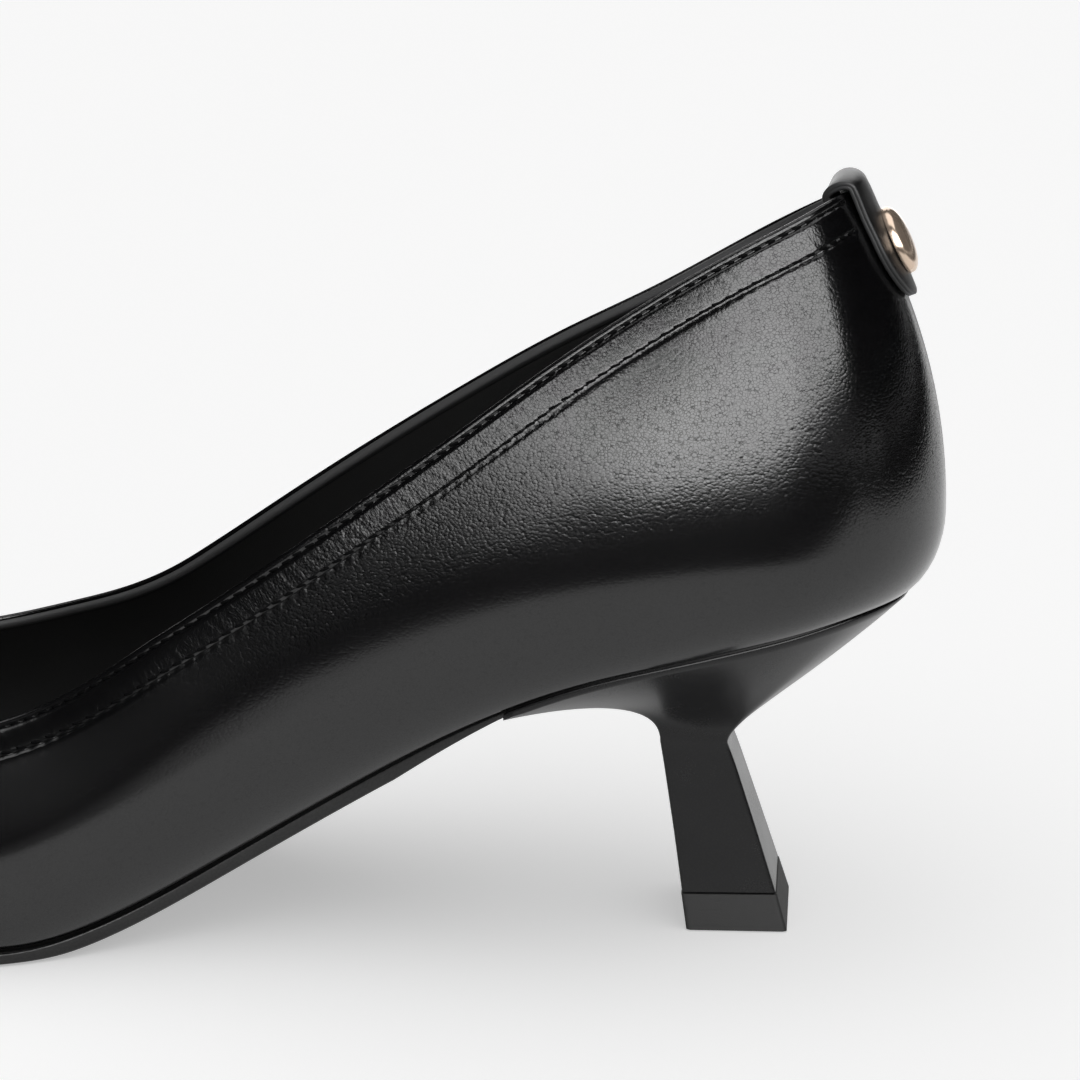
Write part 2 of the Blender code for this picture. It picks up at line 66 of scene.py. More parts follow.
# heel rows turn about the heel axis and start with an angle, foot rows start with a distance
lastColumns = "station featherZ featherIn featherOut bellyZ bellyIn bellyOut centre roundness"
lastHeelRows = [
    (0, 55.7, 23.1, 23.1, 67.3, 28.0, 28.0, 0.0, 1.0),
    (45, 55.2, 22.3, 22.3, 67.2, 28.0, 28.0, 0.0, 1.0),
]
lastRows = [
    (28, 51.4, 22.0, 22.3, 66.5, 28.5, 28.8, 0.0, 1.0),
    (40, 48.6, 22.7, 23.0, 65.5, 28.8, 29.2, 0.0, 1.0),
    (55, 44.4, 22.2, 23.0, 62.5, 28.6, 29.4, 0.0, 1.1),
    (70, 38.0, 20.7, 22.9, 57.5, 28.1, 29.6, 0.0, 1.2),
    (90, 26.6, 19.7, 24.2, 47.5, 27.8, 31.2, 0.0, 1.5),
    (110, 14.8, 21.7, 27.8, 35.5, 29.2, 34.4, 0.0, 1.8),
    (130, 4.9, 27.2, 33.0, 23.0, 32.8, 38.0, 0.0, 2.0),
    (140, 2.55, 31.2, 35.4, 18.3, 34.9, 39.4, -0.1, 2.0),
    (150, 2.45, 34.0, 37.0, 15.3, 36.3, 40.0, -0.3, 2.0),
    (165, 2.5, 35.0, 37.2, 13.2, 36.4, 39.4, -0.9, 2.0),
    (180, 3.3, 32.0, 33.6, 12.6, 33.6, 35.4, -1.8, 2.0),
    (200, 5.0, 25.2, 25.6, 12.3, 26.4, 26.8, -3.1, 2.0),
    (215, 6.7, 18.0, 18.0, 12.2, 18.9, 18.9, -4.0, 2.0),
    (228, 8.2, 11.6, 11.6, 12.0, 12.2, 12.2, -4.6, 2.0),
    (237, 9.2, 6.2, 6.2, 11.9, 6.6, 6.6, -4.9, 2.0),
    (242, 9.6, 0.0, 0.0, 11.7, 0.0, 0.0, -5.0, 2.0),
]
toplineColumns = "station halfIn halfOut zIn zOut"
toplineHeelRows = [(0, 12.7, 12.7, 118.2, 118.2), (45, 15.0, 15.0, 118.8, 115.2)]
toplineRows = [
    (28, 19.0, 19.0, 114.0, 107.8),
    (45, 20.3, 20.3, 104.6, 98.2),
    (60, 21.7, 21.7, 94.5, 90.2),
    (75, 23.1, 23.1, 83.3, 81.2),
    (90, 24.2, 24.2, 72.3, 71.5),
    (105, 24.8, 24.8, 61.6, 61.3),
    (120, 25.0, 25.0, 51.4, 50.8),
    (135, 25.3, 25.2, 42.2, 42.2),
    (150, 26.2, 25.4, 37.0, 38.9),
    (160, 23.4, 22.8, 36.6, 37.7),
    (168, 16.2, 16.2, 37.4, 37.9),
    (174, 0.0, 0.0, 38.6, 38.6),
]
ridgeRows = [
    (120, 57.5), (135, 51.3), (150, 45.8), (162, 42.2), (174, 38.6), (187, 34.3),
    (200, 29.6), (215, 24.2), (228, 19.8), (237, 16.2), (242, 11.8),
]


class Curve:  # a smooth line through the rows of a table, level at the first row
    def __init__(self, stations, values):
        self.x = np.array(stations, float)
        self.y = np.array(values, float)
        count = len(self.x)
        step = np.diff(self.x)
        slope = np.diff(self.y) / step
        left = np.eye(count)
        right = np.zeros(count)
        left[0, :2] = 2 * step[0], step[0]
        right[0] = 6 * slope[0]
        for i in range(1, count - 1):
            left[i, i - 1:i + 2] = step[i - 1], 2 * (step[i - 1] + step[i]), step[i]
            right[i] = 6 * (slope[i] - slope[i - 1])
        self.bend = np.linalg.solve(left, right)

    def __call__(self, station):
        station = np.asarray(station, float)
        i = np.clip(np.searchsorted(self.x, station) - 1, 0, len(self.x) - 2)
        step = self.x[i + 1] - self.x[i]
        a = (self.x[i + 1] - station) / step
        b = 1 - a
        curved = (a ** 3 - a) * self.bend[i] + (b ** 3 - b) * self.bend[i + 1]
        return a * self.y[i] + b * self.y[i + 1] + curved * step * step / 6


def lerp(a, b, share):
    return a + (b - a) * share


def smooth(low, high, value):
    share = np.clip((value - low) / (high - low), 0, 1)
    return share * share * (3 - 2 * share)


def bump(value, middle, width):  # a soft hump of height 1
    return np.exp(-((value - middle) / width) ** 2)


def unit(vectors):
    return vectors / np.maximum(np.linalg.norm(vectors, axis=-1, keepdims=True), 1e-9)


def stretched(distance, start, end):  # draws a distance out towards a round end
    distance = np.asarray(distance, float)
    length = end - start
    out = start + 2 * length * (1 - np.sqrt(np.clip(end - distance, 0, None) / length))
    return np.where(distance <= start, distance, out)


def heelStation(angle):
    return lastSizes["heelAxis"] * (1 - np.radians(90 - angle))


def tableCurves(columns, heelRows, rows, start, end):
    stations = [float(heelStation(row[0])) for row in heelRows]
    stations += [float(stretched(row[0], start, end)) for row in rows]
    table = list(zip(*(heelRows + rows)))
    return {name: Curve(stations, table[i]) for i, name in enumerate(columns.split()) if i}


toeStart, shoeLength, throat = lastSizes["toeStart"], lastSizes["length"], lastSizes["throat"]
lastCurves = tableCurves(lastColumns, lastHeelRows, lastRows, toeStart, shoeLength)
toplineCurves = tableCurves(
    toplineColumns, toplineHeelRows, toplineRows, lastSizes["throatStart"], throat)
ridgeCurve = tableCurves("station z", [], ridgeRows, toeStart, shoeLength)["z"]
backStation = float(heelStation(0))


def last(column, station):
    return lastCurves[column](stretched(station, toeStart, shoeLength))


def topline(side, station):  # half width and height of the top of a section
    station = np.asarray(station, float)
    name = sideName[side]
    ridge = ridgeCurve(stretched(station, toeStart, shoeLength))
    where = stretched(np.minimum(station, throat), lastSizes["throatStart"], throat)
    half = np.where(station >= throat, 0, toplineCurves["half" + name](where))
    bellyZ = last("bellyZ", station)
    belly = np.maximum(last("belly" + name, station), 1e-6)
    reach = np.sqrt(np.clip(1 - (half / belly) ** last("roundness", station), 0, 1))
    onVamp = bellyZ + (ridge - bellyZ) * reach
    blend = smooth(*lastSizes["vampBlend"], station)
    return half, lerp(toplineCurves["z" + name](where), onVamp, blend)


def placed(side, station, half, z):  # sections fan out round the heel, then run square to the foot
    axisAt, blend = lastSizes["heelAxis"], lastSizes["heelBlend"]
    share = np.clip((station - axisAt) / blend + 0.5, 0, 1)
    past = np.clip(station - axisAt - blend / 2, 0, None)
    axis = axisAt + blend * (share ** 3 - share ** 4 / 2) + past
    turn = (station - backStation - axis + axisAt) / axisAt
    sideways = last("centre", station) + side * half * np.sin(turn)
    along = axis - half * np.cos(turn)
    return np.stack(np.broadcast_arrays(along, sideways, z), -1)


def wallWidth(side, station, z):  # half width above the belly, at a height
    name = sideName[side]
    belly, bellyZ = last("belly" + name, station), last("bellyZ", station)
    roundness = last("roundness", station)
    topHalf, topZ = topline(side, station)
    cut = 1 - (topHalf / belly) ** roundness
    rise = (z - bellyZ) / (topZ - bellyZ)
    return belly * np.clip(1 - cut * rise * rise, 0, None) ** (1 / roundness)


def upperPoint(side, station, share):  # from the feather line (0) past the belly to the top edge (1)
    name = sideName[side]
    belly = np.maximum(last("belly" + name, station), 1e-6)
    bellyZ = last("bellyZ", station)
    roundness = last("roundness", station)
    bellyShare = lastSizes["bellyShare"]
    first = math.radians(lastSizes["featherAngle"])
    turn = lerp(first, math.pi / 2, np.clip(share / bellyShare, 0, 1))
    inset = (belly - last("feather" + name, station)) * (1 - np.sin(turn)) / (1 - math.sin(first))
    drop = (bellyZ - last("featherZ", station)) * np.cos(turn) / math.cos(first)
    topHalf, topZ = topline(side, station)
    reach = np.sqrt(np.clip(1 - (topHalf / belly) ** roundness, 1e-9, 1))
    rise = np.arcsin(reach) * np.clip((share - bellyShare) / (1 - bellyShare), 0, 1)
    high = belly * np.clip(np.cos(rise), 0, None) ** (2 / roundness)
    low = share <= bellyShare
    half = np.where(low, belly - inset, high)
    z = np.where(low, bellyZ - drop, bellyZ + (topZ - bellyZ) * np.sin(rise) / reach)
    return placed(side, station, half, z)


def widest(column, sign):
    stations = np.linspace(lastSizes["heelAxis"], shoeLength, 400)
    return np.max(last(column, stations) + sign * last("centre", stations))


soleProud = 1.0  # how far the sole stands out past the feather line at the toe
heelBackX = (shoeLength + soleProud) / 2
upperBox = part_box("upper")
sideShift = -(upperBox[0].y + upperBox[1].y) / 2 / mm + (widest("bellyOut", 1) - widest("bellyIn", -1)) / 2


def toWorld(points):  # shoe millimetres to metres in the part's frame
    points = np.asarray(points, float)
    return np.stack([heelBackX - points[..., 0], points[..., 1] - sideShift, points[..., 2]], -1) * mm


def gridNumbers(points):  # one number for each point of a grid
    return np.arange(points.shape[0] * points.shape[1]).reshape(points.shape[:2])


def quadsBetween(rows):  # faces of a grid of point numbers
    rows = np.asarray(rows)
    corners = [rows[:-1, :-1], rows[:-1, 1:], rows[1:, 1:], rows[1:, :-1]]
    return np.stack(corners, -1).reshape(-1, 4)


def ringQuads(rows):  # the same for a grid whose columns close into a ring
    rows = np.asarray(rows)
    return quadsBetween(np.concatenate([rows, rows[:, :1]], 1))


def closedTube(rings):  # faces of a row of rings with both ends closed
    numbers = gridNumbers(rings)
    return [list(q) for q in ringQuads(numbers)] + [list(numbers[0]), list(numbers[-1][::-1])]


def cleanFaces(faces):  # drops repeated corners where a grid closes to a point
    kept = []
    for face in faces:
        corners = []
        for corner in face:
            if corner not in corners:
                corners.append(int(corner))
        if len(corners) > 2:
            kept.append(corners)
    return kept


def pointNormals(points, quads):
    a, b, c, d = (points[quads[:, k]] for k in range(4))
    facing = np.cross(c - a, d - b)
    normals = np.zeros_like(points)
    for k in range(4):
        np.add.at(normals, quads[:, k], facing)
    return unit(normals)


def makePiece(name, points, faces, finish, node=None, sharpAngle=None):
    mesh = bpy.data.meshes.new(name)
    mesh.from_pydata(toWorld(points).tolist(), [], cleanFaces(faces))
    shaped = bmesh.new()
    shaped.from_mesh(mesh)
    bmesh.ops.recalc_face_normals(shaped, faces=shaped.faces)
    shaped.to_mesh(mesh)
    shaped.free()
    mesh.shade_smooth()
    if sharpAngle:
        mesh.set_sharp_from_angle(angle=math.radians(sharpAngle))
    piece = bpy.data.objects.new(name, mesh)
    bpy.context.scene.collection.objects.link(piece)
    mesh.materials.append(finish)
    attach(piece, "root")
    if node:
        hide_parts(node)
    print(f"{name}: {len(mesh.polygons)} faces")
    return piece


def paintPoints(piece, name, values):  # a number for each point, read by a finish
    layer = piece.data.attributes.new(name, "FLOAT", "POINT")
    layer.data.foreach_set("value", np.asarray(values, np.float32))


class Wire:  # a socket that takes part in sums
    def __init__(self, finish, socket):
        self.finish = finish
        self.socket = socket

    def sum(self, operation, first, second):
        return self.finish.node("ShaderNodeMath", {"operation": operation}, {0: first, 1: second})

    def __add__(self, other):
        return self.sum("ADD", self, other)

    def __sub__(self, other):
        return self.sum("SUBTRACT", self, other)

    def __rsub__(self, other):
        return self.sum("SUBTRACT", other, self)

    def __mul__(self, other):
        return self.sum("MULTIPLY", self, other)

    __radd__ = __add__
    __rmul__ = __mul__


class Finish:  # a material and the few nodes it is made from
    def __init__(self, name, constants):
        self.material = bpy.data.materials.new(name)
        self.material.use_nodes = True
        self.tree = self.material.node_tree
        self.shader = self.tree.nodes["Principled BSDF"]
        for socket, value in constants.items():
            self.shader.inputs[socket].default_value = value

    def node(self, kind, settings, values, output=0):  # settings first, as some change the sockets
        made = self.tree.nodes.new(kind)
        for key, value in settings.items():
            setattr(made, key, value)
        for key, value in values.items():
            if isinstance(value, Wire):
                self.tree.links.new(value.socket, made.inputs[key])
            else:
                made.inputs[key].default_value = value
        return Wire(self, made.outputs[output])

    def feed(self, socket, wire):
        self.tree.links.new(wire.socket, self.shader.inputs[socket])

    def place(self, stretch=(1, 1, 1)):  # millimetres on the part, drawn out by a stretch
        at = self.node("ShaderNodeTexCoord", {}, {}, "Object")
        size = [1 / (mm * s) for s in stretch]
        return self.node("ShaderNodeVectorMath", {"operation": "MULTIPLY"}, {0: at, 1: size})

    def noise(self, at, size, detail=2.0, output="Fac"):
        values = {"Vector": at, "Scale": 1 / size, "Detail": detail, "Roughness": 0.55}
        return self.node("ShaderNodeTexNoise", {}, values, output)

    def warped(self, at, size, amount):
        colour = self.noise(at, size, 2.0, "Color")
        half = (0.5, 0.5, 0.5)
        centred = self.node("ShaderNodeVectorMath", {"operation": "SUBTRACT"}, {0: colour, 1: half})
        moved = {0: centred, 1: (amount, amount, amount), 2: at}
        return self.node("ShaderNodeVectorMath", {"operation": "MULTIPLY_ADD"}, moved)

    # distance to the gaps between cells, or with F1 to their middles
    def cells(self, at, size, feature="DISTANCE_TO_EDGE"):
        settings = {"feature": feature, "voronoi_dimensions": "3D"}
        return self.node("ShaderNodeTexVoronoi", settings, {"Vector": at, "Scale": 1 / size}, "Distance")

    def ramp(self, wire, low, high, fromValue=0.0, toValue=1.0):
        settings = {"interpolation_type": "SMOOTHSTEP"}
        values = {"Value": wire, "From Min": low, "From Max": high, "To Min": fromValue, "To Max": toValue}
        return self.node("ShaderNodeMapRange", settings, values)

    def mix(self, share, first, second):
        ends = [end if isinstance(end, Wire) else (*end, 1) for end in (first, second)]
        return self.node("ShaderNodeMix", {"data_type": "RGBA"}, {0: share, 6: ends[0], 7: ends[1]}, 2)

    def bump(self, height, depth):
        values = {"Height": height, "Distance": depth * mm, "Strength": 1.0}
        self.feed("Normal", self.node("ShaderNodeBump", {}, values, "Normal"))

    def paintShade(self, share, tone):  # paints shade over part of the surface as a matte layer without gloss
        matte = {"Base Color": (*tone, 1), "Roughness": 1.0, "Specular IOR Level": 0.0}
        matte = self.node("ShaderNodeBsdfPrincipled", {}, matte)
        glossy = Wire(self, self.shader.outputs[0])
        mixed = self.node("ShaderNodeMixShader", {}, {0: share, 1: glossy, 2: matte})
        self.tree.links.new(mixed.socket, self.tree.nodes["Material Output"].inputs["Surface"])

    def painted(self, name):
        return self.node("ShaderNodeAttribute", {"attribute_name": name}, {}, "Fac")


# pebbled black calf of the upper: glossy pebbles with painted shade in the creases between them
calfLook = {
    "black": (0.0030, 0.0030, 0.0033),
    "worn": (0.0075, 0.0075, 0.0080),
    # painted shade for the creases
    "creaseShade": (0.0016, 0.0016, 0.0018),
    "creaseShadeShare": 0.72,
    "creaseWidth": 0.15,
    "roughness": 0.13,
    "poreRoughness": 0.06,
    "ior": 1.57,
    "stretch": (1.2, 1.0, 1.0),
    "warps": [(0.9, 0.4), (0.25, 0.12)],  # size and amount, in mm as the sizes below
    "pebble": 0.44,
    "pore": 0.16,
    "patch": 0.8,
    "cloud": 7.0,
    "patchLow": 0.40,  # the faintest grain in a patch
    "depth": 0.024,
    "poreDepth": 0.12,  # as a share of the depth
    "tight": 0.80,  # share of the grain that is lost over the toes and where the leather is drawn under
    "wrinkle": 0.034,  # depth of the fine folds between the stitch rows
    "fold": 0.5,
    "foldDraw": 0.4,
}


def calfFinish(name, look):
    finish = Finish(name, {"IOR": look["ior"]})
    at = finish.place(look["stretch"])
    wavy = at
    for size, amount in look["warps"]:
        wavy = finish.warped(wavy, size, amount)
    toMiddle = finish.cells(wavy, look["pebble"], "F1")
    toCrease = finish.cells(wavy, look["pebble"])
    patchy = finish.ramp(finish.noise(at, look["patch"]), 0.3, 0.7, look["patchLow"], 1.0)
    pores = finish.noise(at, look["pore"])
    broad = finish.noise(at, look["cloud"])
    grain = patchy * (1 - look["tight"] * finish.painted("tight"))
    # mask of the crease lines, where shade is painted
    creases = finish.ramp(toCrease, 0.0, look["creaseWidth"], 1.0, 0.0) * grain
    edgeWay = {0: finish.painted("run"), 1: finish.painted("drop") * look["foldDraw"]}
    alongEdge = finish.node("ShaderNodeCombineXYZ", {}, edgeWay)
    folds = finish.noise(alongEdge, look["fold"], 3.0) * finish.painted("band")
    height = pores * look["poreDepth"] * grain - toMiddle * toMiddle * grain
    height = height + folds * (look["wrinkle"] / look["depth"])
    finish.bump(height, look["depth"])
    finish.feed("Roughness", look["roughness"] + look["poreRoughness"] * pores)
    finish.feed("Base Color", finish.mix(broad, look["black"], look["worn"]))
    # paints shade into the creases as a near-black matte layer
    finish.paintShade(creases * look["creaseShadeShare"], look["creaseShade"])
    return finish.material


upperLook = {
    "leather": 1.0,  # thickness of the outer leather
    "columns": 0.55,  # mm between columns of points
    "bandRows": [  # mm below the edge, close together where the stitches sink in
        0.5, 0.65, 0.8, 0.92, 1.04, 1.15, 1.25, 1.35, 1.45, 1.56, 1.7, 1.9, 2.2, 2.6, 3.0, 3.4, 3.8,
        4.2, 4.6, 5.0, 5.3, 5.52, 5.7, 5.84, 5.95, 6.05, 6.16, 6.3, 6.48, 6.7, 7.0, 7.5, 8.2, 9.0],
    "sideRows": 34,
    "insideStep": 5,  # the inside keeps one row of points in five
    "rollSteps": 8,
    "topRow": 1.3,  # stitch rows below the edge
    "lowRow": 6.0,
    "stitchPitch": 2.25,
    "tabClear": (11.1, 10.3),  # the rows stop this far from the centre back, inner and outer side
    "tightBelow": (-0.13, 0.0),  # the grain is drawn tight where the wall starts to face down
    "tightAhead": (85, 125),  # and towards the toes
}


def footStations(step):  # closer together at the throat and the toe
    heelEnd, wallEnd = lastSizes["heelAxis"], lastSizes["throatStart"]
    heelRun, frontRun, toeRun = 44, 46, 52  # mm of edge that the columns share out
    heel = np.linspace(backStation, heelEnd, int(heelRun / step))
    wall = np.linspace(heelEnd, wallEnd, int((wallEnd - heelEnd) / step))[1:]
    front = throat - (throat - wallEnd) * (1 - np.linspace(0, 1, int(frontRun / step))[1:]) ** 1.6
    vamp = np.linspace(throat, toeStart, int((toeStart - throat) / step))[1:]
    toe = shoeLength - (shoeLength - toeStart) * (1 - np.linspace(0, 1, int(toeRun / step))[1:]) ** 2
    return np.concatenate([heel, wall, front, vamp, toe])


def upperGrid(step, bandRows, sideRows):  # columns of points from the topline down to the feather line
    stations = footStations(step)
    count = len(stations)
    atThroat = int(np.argmin(abs(stations - throat)))
    fine = np.linspace(1, 0, 361)
    throatFade = 12.0  # the first row runs up to the edge over this distance
    bandRows = np.array(bandRows)
    start = bandRows[0] * np.clip((throat - stations) / throatFade, 0, 1)
    bandShares = (bandRows - bandRows[0]) / (bandRows[-1] - bandRows[0])
    points, numbers, rise = [], {}, []
    for side in (inner, outer):
        line = upperPoint(side, stations[:, None], fine[None, :])
        run = np.zeros((count, len(fine)))
        run[:, 1:] = np.cumsum(np.linalg.norm(np.diff(line, axis=1), axis=-1), 1)
        total = run[:, -1:]
        band = np.minimum(bandRows[-1], 0.28 * total)  # narrower where the wall is low
        first = np.minimum(start[:, None], 0.1 * total)
        turnUnder = np.minimum(1.2, 0.1 * total)
        distances = [lerp(first, band, bandShares[None, :])]
        distances.append(lerp(band, total - turnUnder, np.linspace(0, 1, sideRows + 1)[None, 1:]))
        distances.append(total - turnUnder * np.array([[0.66, 0.33, 0.0]]))
        distances = np.concatenate(distances, 1)
        share = np.array([np.interp(distances[i], run[i], fine) for i in range(count)])
        grid = upperPoint(side, stations[:, None], share)
        rows = grid.shape[1]
        numbers[side] = gridNumbers(grid) + sum(len(p) for p in points)
        points.append(grid.reshape(-1, 3))
        rise.append((total - distances).reshape(-1))
    both = numbers[outer]  # the two sides share their points at the centre back, over the toes and at the tip
    both[0], both[-1] = numbers[inner][0], numbers[inner][-1]
    both[atThroat:, 0] = numbers[inner][atThroat:, 0]
    quads = np.concatenate([quadsBetween(numbers[inner]), quadsBetween(both[:, ::-1])])
    points = np.concatenate(points)
    normals = pointNormals(points, quads)
    middle = numbers[inner][len(stations) // 3, rows // 2]
    if normals[middle, 1] > 0:
        normals = -normals
    loop = np.concatenate([numbers[inner][:atThroat + 1, 0], both[atThroat - 1:0:-1, 0]])
    return {
        "stations": stations, "atThroat": atThroat, "points": points, "numbers": numbers, "quads": quads,
        "normals": normals, "loop": loop, "rise": np.concatenate(rise), "rows": rows,
    }


def insideClear(points, numbers, stations):  # keeps the inside of the toe from crossing itself
    for side in (inner, outer):
        centre = last("centre", stations)[:, None]
        low = last("featherZ", stations)[:, None] + 0.1
        at = numbers[side]
        sideways = points[at, 1]
        points[at, 1] = np.where(side * (sideways - centre) < 0, centre, sideways)
        points[at, 2] = np.maximum(points[at, 2], low)


def edgeFrames(grid, points):  # points, outward and upward directions round the topline
    loop = grid["loop"]
    line = points[loop]
    along = unit(np.roll(line, -1, 0) - np.roll(line, 1, 0))
    out = grid["normals"][loop]
    up = unit(np.cross(along, out))
    probe = len(loop) // 8
    below = grid["numbers"][inner][probe, 1]
    if np.dot(up[probe], points[below] - line[probe]) > 0:
        up = -up
    return line, out, up


# a closed wall: outside, rolled top edge, inside and lower edge
def shell(grid, outside, outOffset, inOffset, innerRows, rollSteps, lip=0):
    numbers, loop = grid["numbers"], grid["loop"]
    points = [outside - grid["normals"] * outOffset]
    inside = outside - grid["normals"] * (inOffset + lip)
    insideClear(inside, numbers, grid["stations"])
    points.append(inside)
    shift = len(outside)
    line, out, up = edgeFrames(grid, outside)
    radius = (inOffset - outOffset) / 2
    centre = line - out * (outOffset + radius)
    rollNumbers = [loop]
    for k in range(1, rollSteps):
        turn = math.pi * k / rollSteps
        start = 2 * shift + (k - 1) * len(loop)
        points.append(centre + radius * (out * math.cos(turn) + up * math.sin(turn)))
        rollNumbers.append(np.arange(len(loop)) + start)
    rollNumbers.append(loop + shift)
    faces = [grid["quads"], ringQuads(np.array(rollNumbers))[:, ::-1]]
    for side in (inner, outer):
        inRows = numbers[side][:, innerRows] + shift
        order = 1 if side == outer else -1
        faces.append(quadsBetween(inRows)[:, ::order])
        lower = np.stack([numbers[side][:, -1], inRows[:, -1]])
        faces.append(quadsBetween(lower)[:, ::order])
    points = np.concatenate(points)
    faces = np.concatenate(faces)
    used = np.unique(faces)
    renumber = np.full(len(points), -1)
    renumber[used] = np.arange(len(used))
    return points[used], renumber[faces], used


# troughs, ridges and puckers of the upper, in millimetres
upperCreases = {
    "seamTrough": 0.20,
    "holeDepth": 0.14,
    "rowWidths": (0.32, 0.40),  # of the top and the low stitch row
    "rowEnd": 1.2,  # a row fades out over this distance
    "edgeBead": 0.08,
    "pillow": 0.04,
    "pucker": 0.022,
    "puckerLean": 0.35,
    # length, share and phase of the waves that the puckers are made of
    "puckerWaves": [(2.25, 0.5, 0.4), (1.72, 0.45, 1.9), (1.43, 0.35, 4.1), (2.9, 0.2, 2.2)],
    "backSeam": 0.16,
    "turnUnder": 0.3,
    # along, height, length, width, lean and depth of soft troughs on both sides
    "troughs": [
        (96, 58, 26, 5, -0.55, 0.10), (118, 40, 30, 6, -0.55, 0.12), (66, 84, 22, 5, -0.6, 0.08),
        (140, 28, 26, 6, -0.3, 0.12), (52, 70, 24, 7, 0.1, 0.08), (160, 22, 22, 5, -0.2, 0.10),
    ],
}


def nearEdge(grid):  # distance below the topline and the run along it, for each point
    reach = 12.0  # points further down than this are left out
    there = grid["stations"][:grid["atThroat"] + 1]
    back = there[-2:0:-1]
    edge = [upperPoint(inner, there, np.ones_like(there)), upperPoint(outer, back, np.ones_like(back))]
    line = np.concatenate(edge)
    steps = np.linalg.norm(np.roll(line, -1, 0) - line, axis=1)
    run = np.concatenate([[0], np.cumsum(steps)[:-1]])
    along = unit(np.roll(line, -1, 0) - np.roll(line, 1, 0))
    tree = kdtree.KDTree(len(line))
    for i, point in enumerate(line):
        tree.insert(point, i)
    tree.balance()
    points = grid["points"]
    drop = np.full(len(points), 99.0)
    place = np.zeros(len(points))
    for i, point in enumerate(points):
        _, k, far = tree.find(point)
        if far < reach:
            offset = point - line[k]
            ahead = float(np.dot(offset, along[k]))
            drop[i] = math.sqrt(max(far * far - ahead * ahead, 0))
            place[i] = run[k] + ahead
    return drop, place, line, run, float(steps.sum())


def upperRelief(grid, drop, place, total):
    sizes, creases = upperLook, upperCreases
    points = grid["points"]
    pitch = sizes["stitchPitch"]
    start, end = sizes["tabClear"][0], total - sizes["tabClear"][1]
    fade = creases["rowEnd"]
    sewn = smooth(start - fade, start, place) * (1 - smooth(end, end + fade, place))
    relief = creases["edgeBead"] * bump(drop, 0.6, 0.4)
    hole = 0.5 + 0.5 * np.cos(2 * math.pi * (place - start) / pitch)
    for row, width in zip((sizes["topRow"], sizes["lowRow"]), creases["rowWidths"]):
        trough = bump(drop, row, width) * creases["seamTrough"]
        trough = trough + bump(drop, row, width * 0.8) * creases["holeDepth"] * hole
        relief -= sewn * trough
    # a soft pillow and leaning puckers between the rows, fainter ones just below them
    between = smooth(sizes["topRow"], 2.2, drop) * (1 - smooth(4.9, sizes["lowRow"], drop))
    outside = bump(drop, sizes["lowRow"] + 1.2, 0.8)
    relief += creases["pillow"] * sewn * bump(drop, 3.7, 1.5)
    lean = place + creases["puckerLean"] * (drop - 3.5)
    waves = np.zeros(len(points))
    for length, share, phase in creases["puckerWaves"]:
        waves += share * np.sin(2 * math.pi * lean / length + phase + 0.6 * np.sin(place / 7.3 + phase))
    relief += creases["pucker"] * sewn * waves * (between + 0.45 * outside)
    # the seam up the centre back, with a low ridge on each side
    backArc = np.abs(points[:, 1])
    onBack = (points[:, 0] < 20) & (backArc < 4)
    seam = bump(backArc, 0, 0.32) - 0.35 * bump(backArc, 1.1, 0.6)
    relief -= np.where(onBack, creases["backSeam"] * seam, 0)
    for along, z, length, width, tilt, depth in creases["troughs"]:
        run = points[:, 0] - along
        height = points[:, 2] - z
        across = height - tilt * run
        relief -= depth * bump(run, 0, length) * bump(across, 0, width)
        relief += 0.6 * depth * bump(run, 0, length) * bump(across, 1.6 * width, width)
    relief -= creases["turnUnder"] * (1 - np.clip(grid["rise"], 0, 1)) ** 2
    return relief, sewn * (between + 0.3 * outside)


def makeUpper(finish):
    sizes = upperLook
    grid = upperGrid(sizes["columns"], sizes["bandRows"], sizes["sideRows"])
    drop, place, edge, run, total = nearEdge(grid)
    relief, puckered = upperRelief(grid, drop, place, total)
    outside = grid["points"] + grid["normals"] * relief[:, None]
    innerRows = np.unique(np.append(np.arange(0, grid["rows"], sizes["insideStep"]), grid["rows"] - 1))
    points, faces, used = shell(grid, outside, 0.0, sizes["leather"], innerRows, sizes["rollSteps"])
    upper = makePiece("upper_leather", points, faces, finish, "upper")
    onOutside = used < len(outside)
    below = smooth(*sizes["tightBelow"], -grid["normals"][:, 2])
    tight = np.maximum(below, smooth(*sizes["tightAhead"], grid["points"][:, 0]))
    for name, values in (("band", puckered), ("run", place), ("drop", drop), ("tight", tight)):
        painted = np.zeros(len(points))
        painted[onOutside] = values[used[onOutside]]
        paintPoints(upper, name, painted)
    return grid, outside, edge, run, total


# waxed thread: each stitch is a short strand that dives into the leather at both ends
threadLook = {
    "black": (0.0012, 0.0012, 0.0014),
    "lit": (0.003, 0.003, 0.0034),
    "roughness": 0.6,
    "gloss": 0.03,
    "radius": 0.24,
    "length": 1.85,
    "slant": 0.2,
    "sides": 8,
    "rings": 9,
    "proud": -0.05,
    "dive": 0.3,
}


def threadFinish(name, look):
    finish = Finish(name, {"Roughness": look["roughness"], "Specular IOR Level": look["gloss"]})
    at = finish.place()
    fibre = finish.noise(at, 0.12, 2.0)
    twist = finish.painted("twist")
    finish.bump(twist * 0.7 + fibre * 0.3, 0.05)
    finish.feed("Base Color", finish.mix(fibre, look["black"], look["lit"]))
    return finish.material


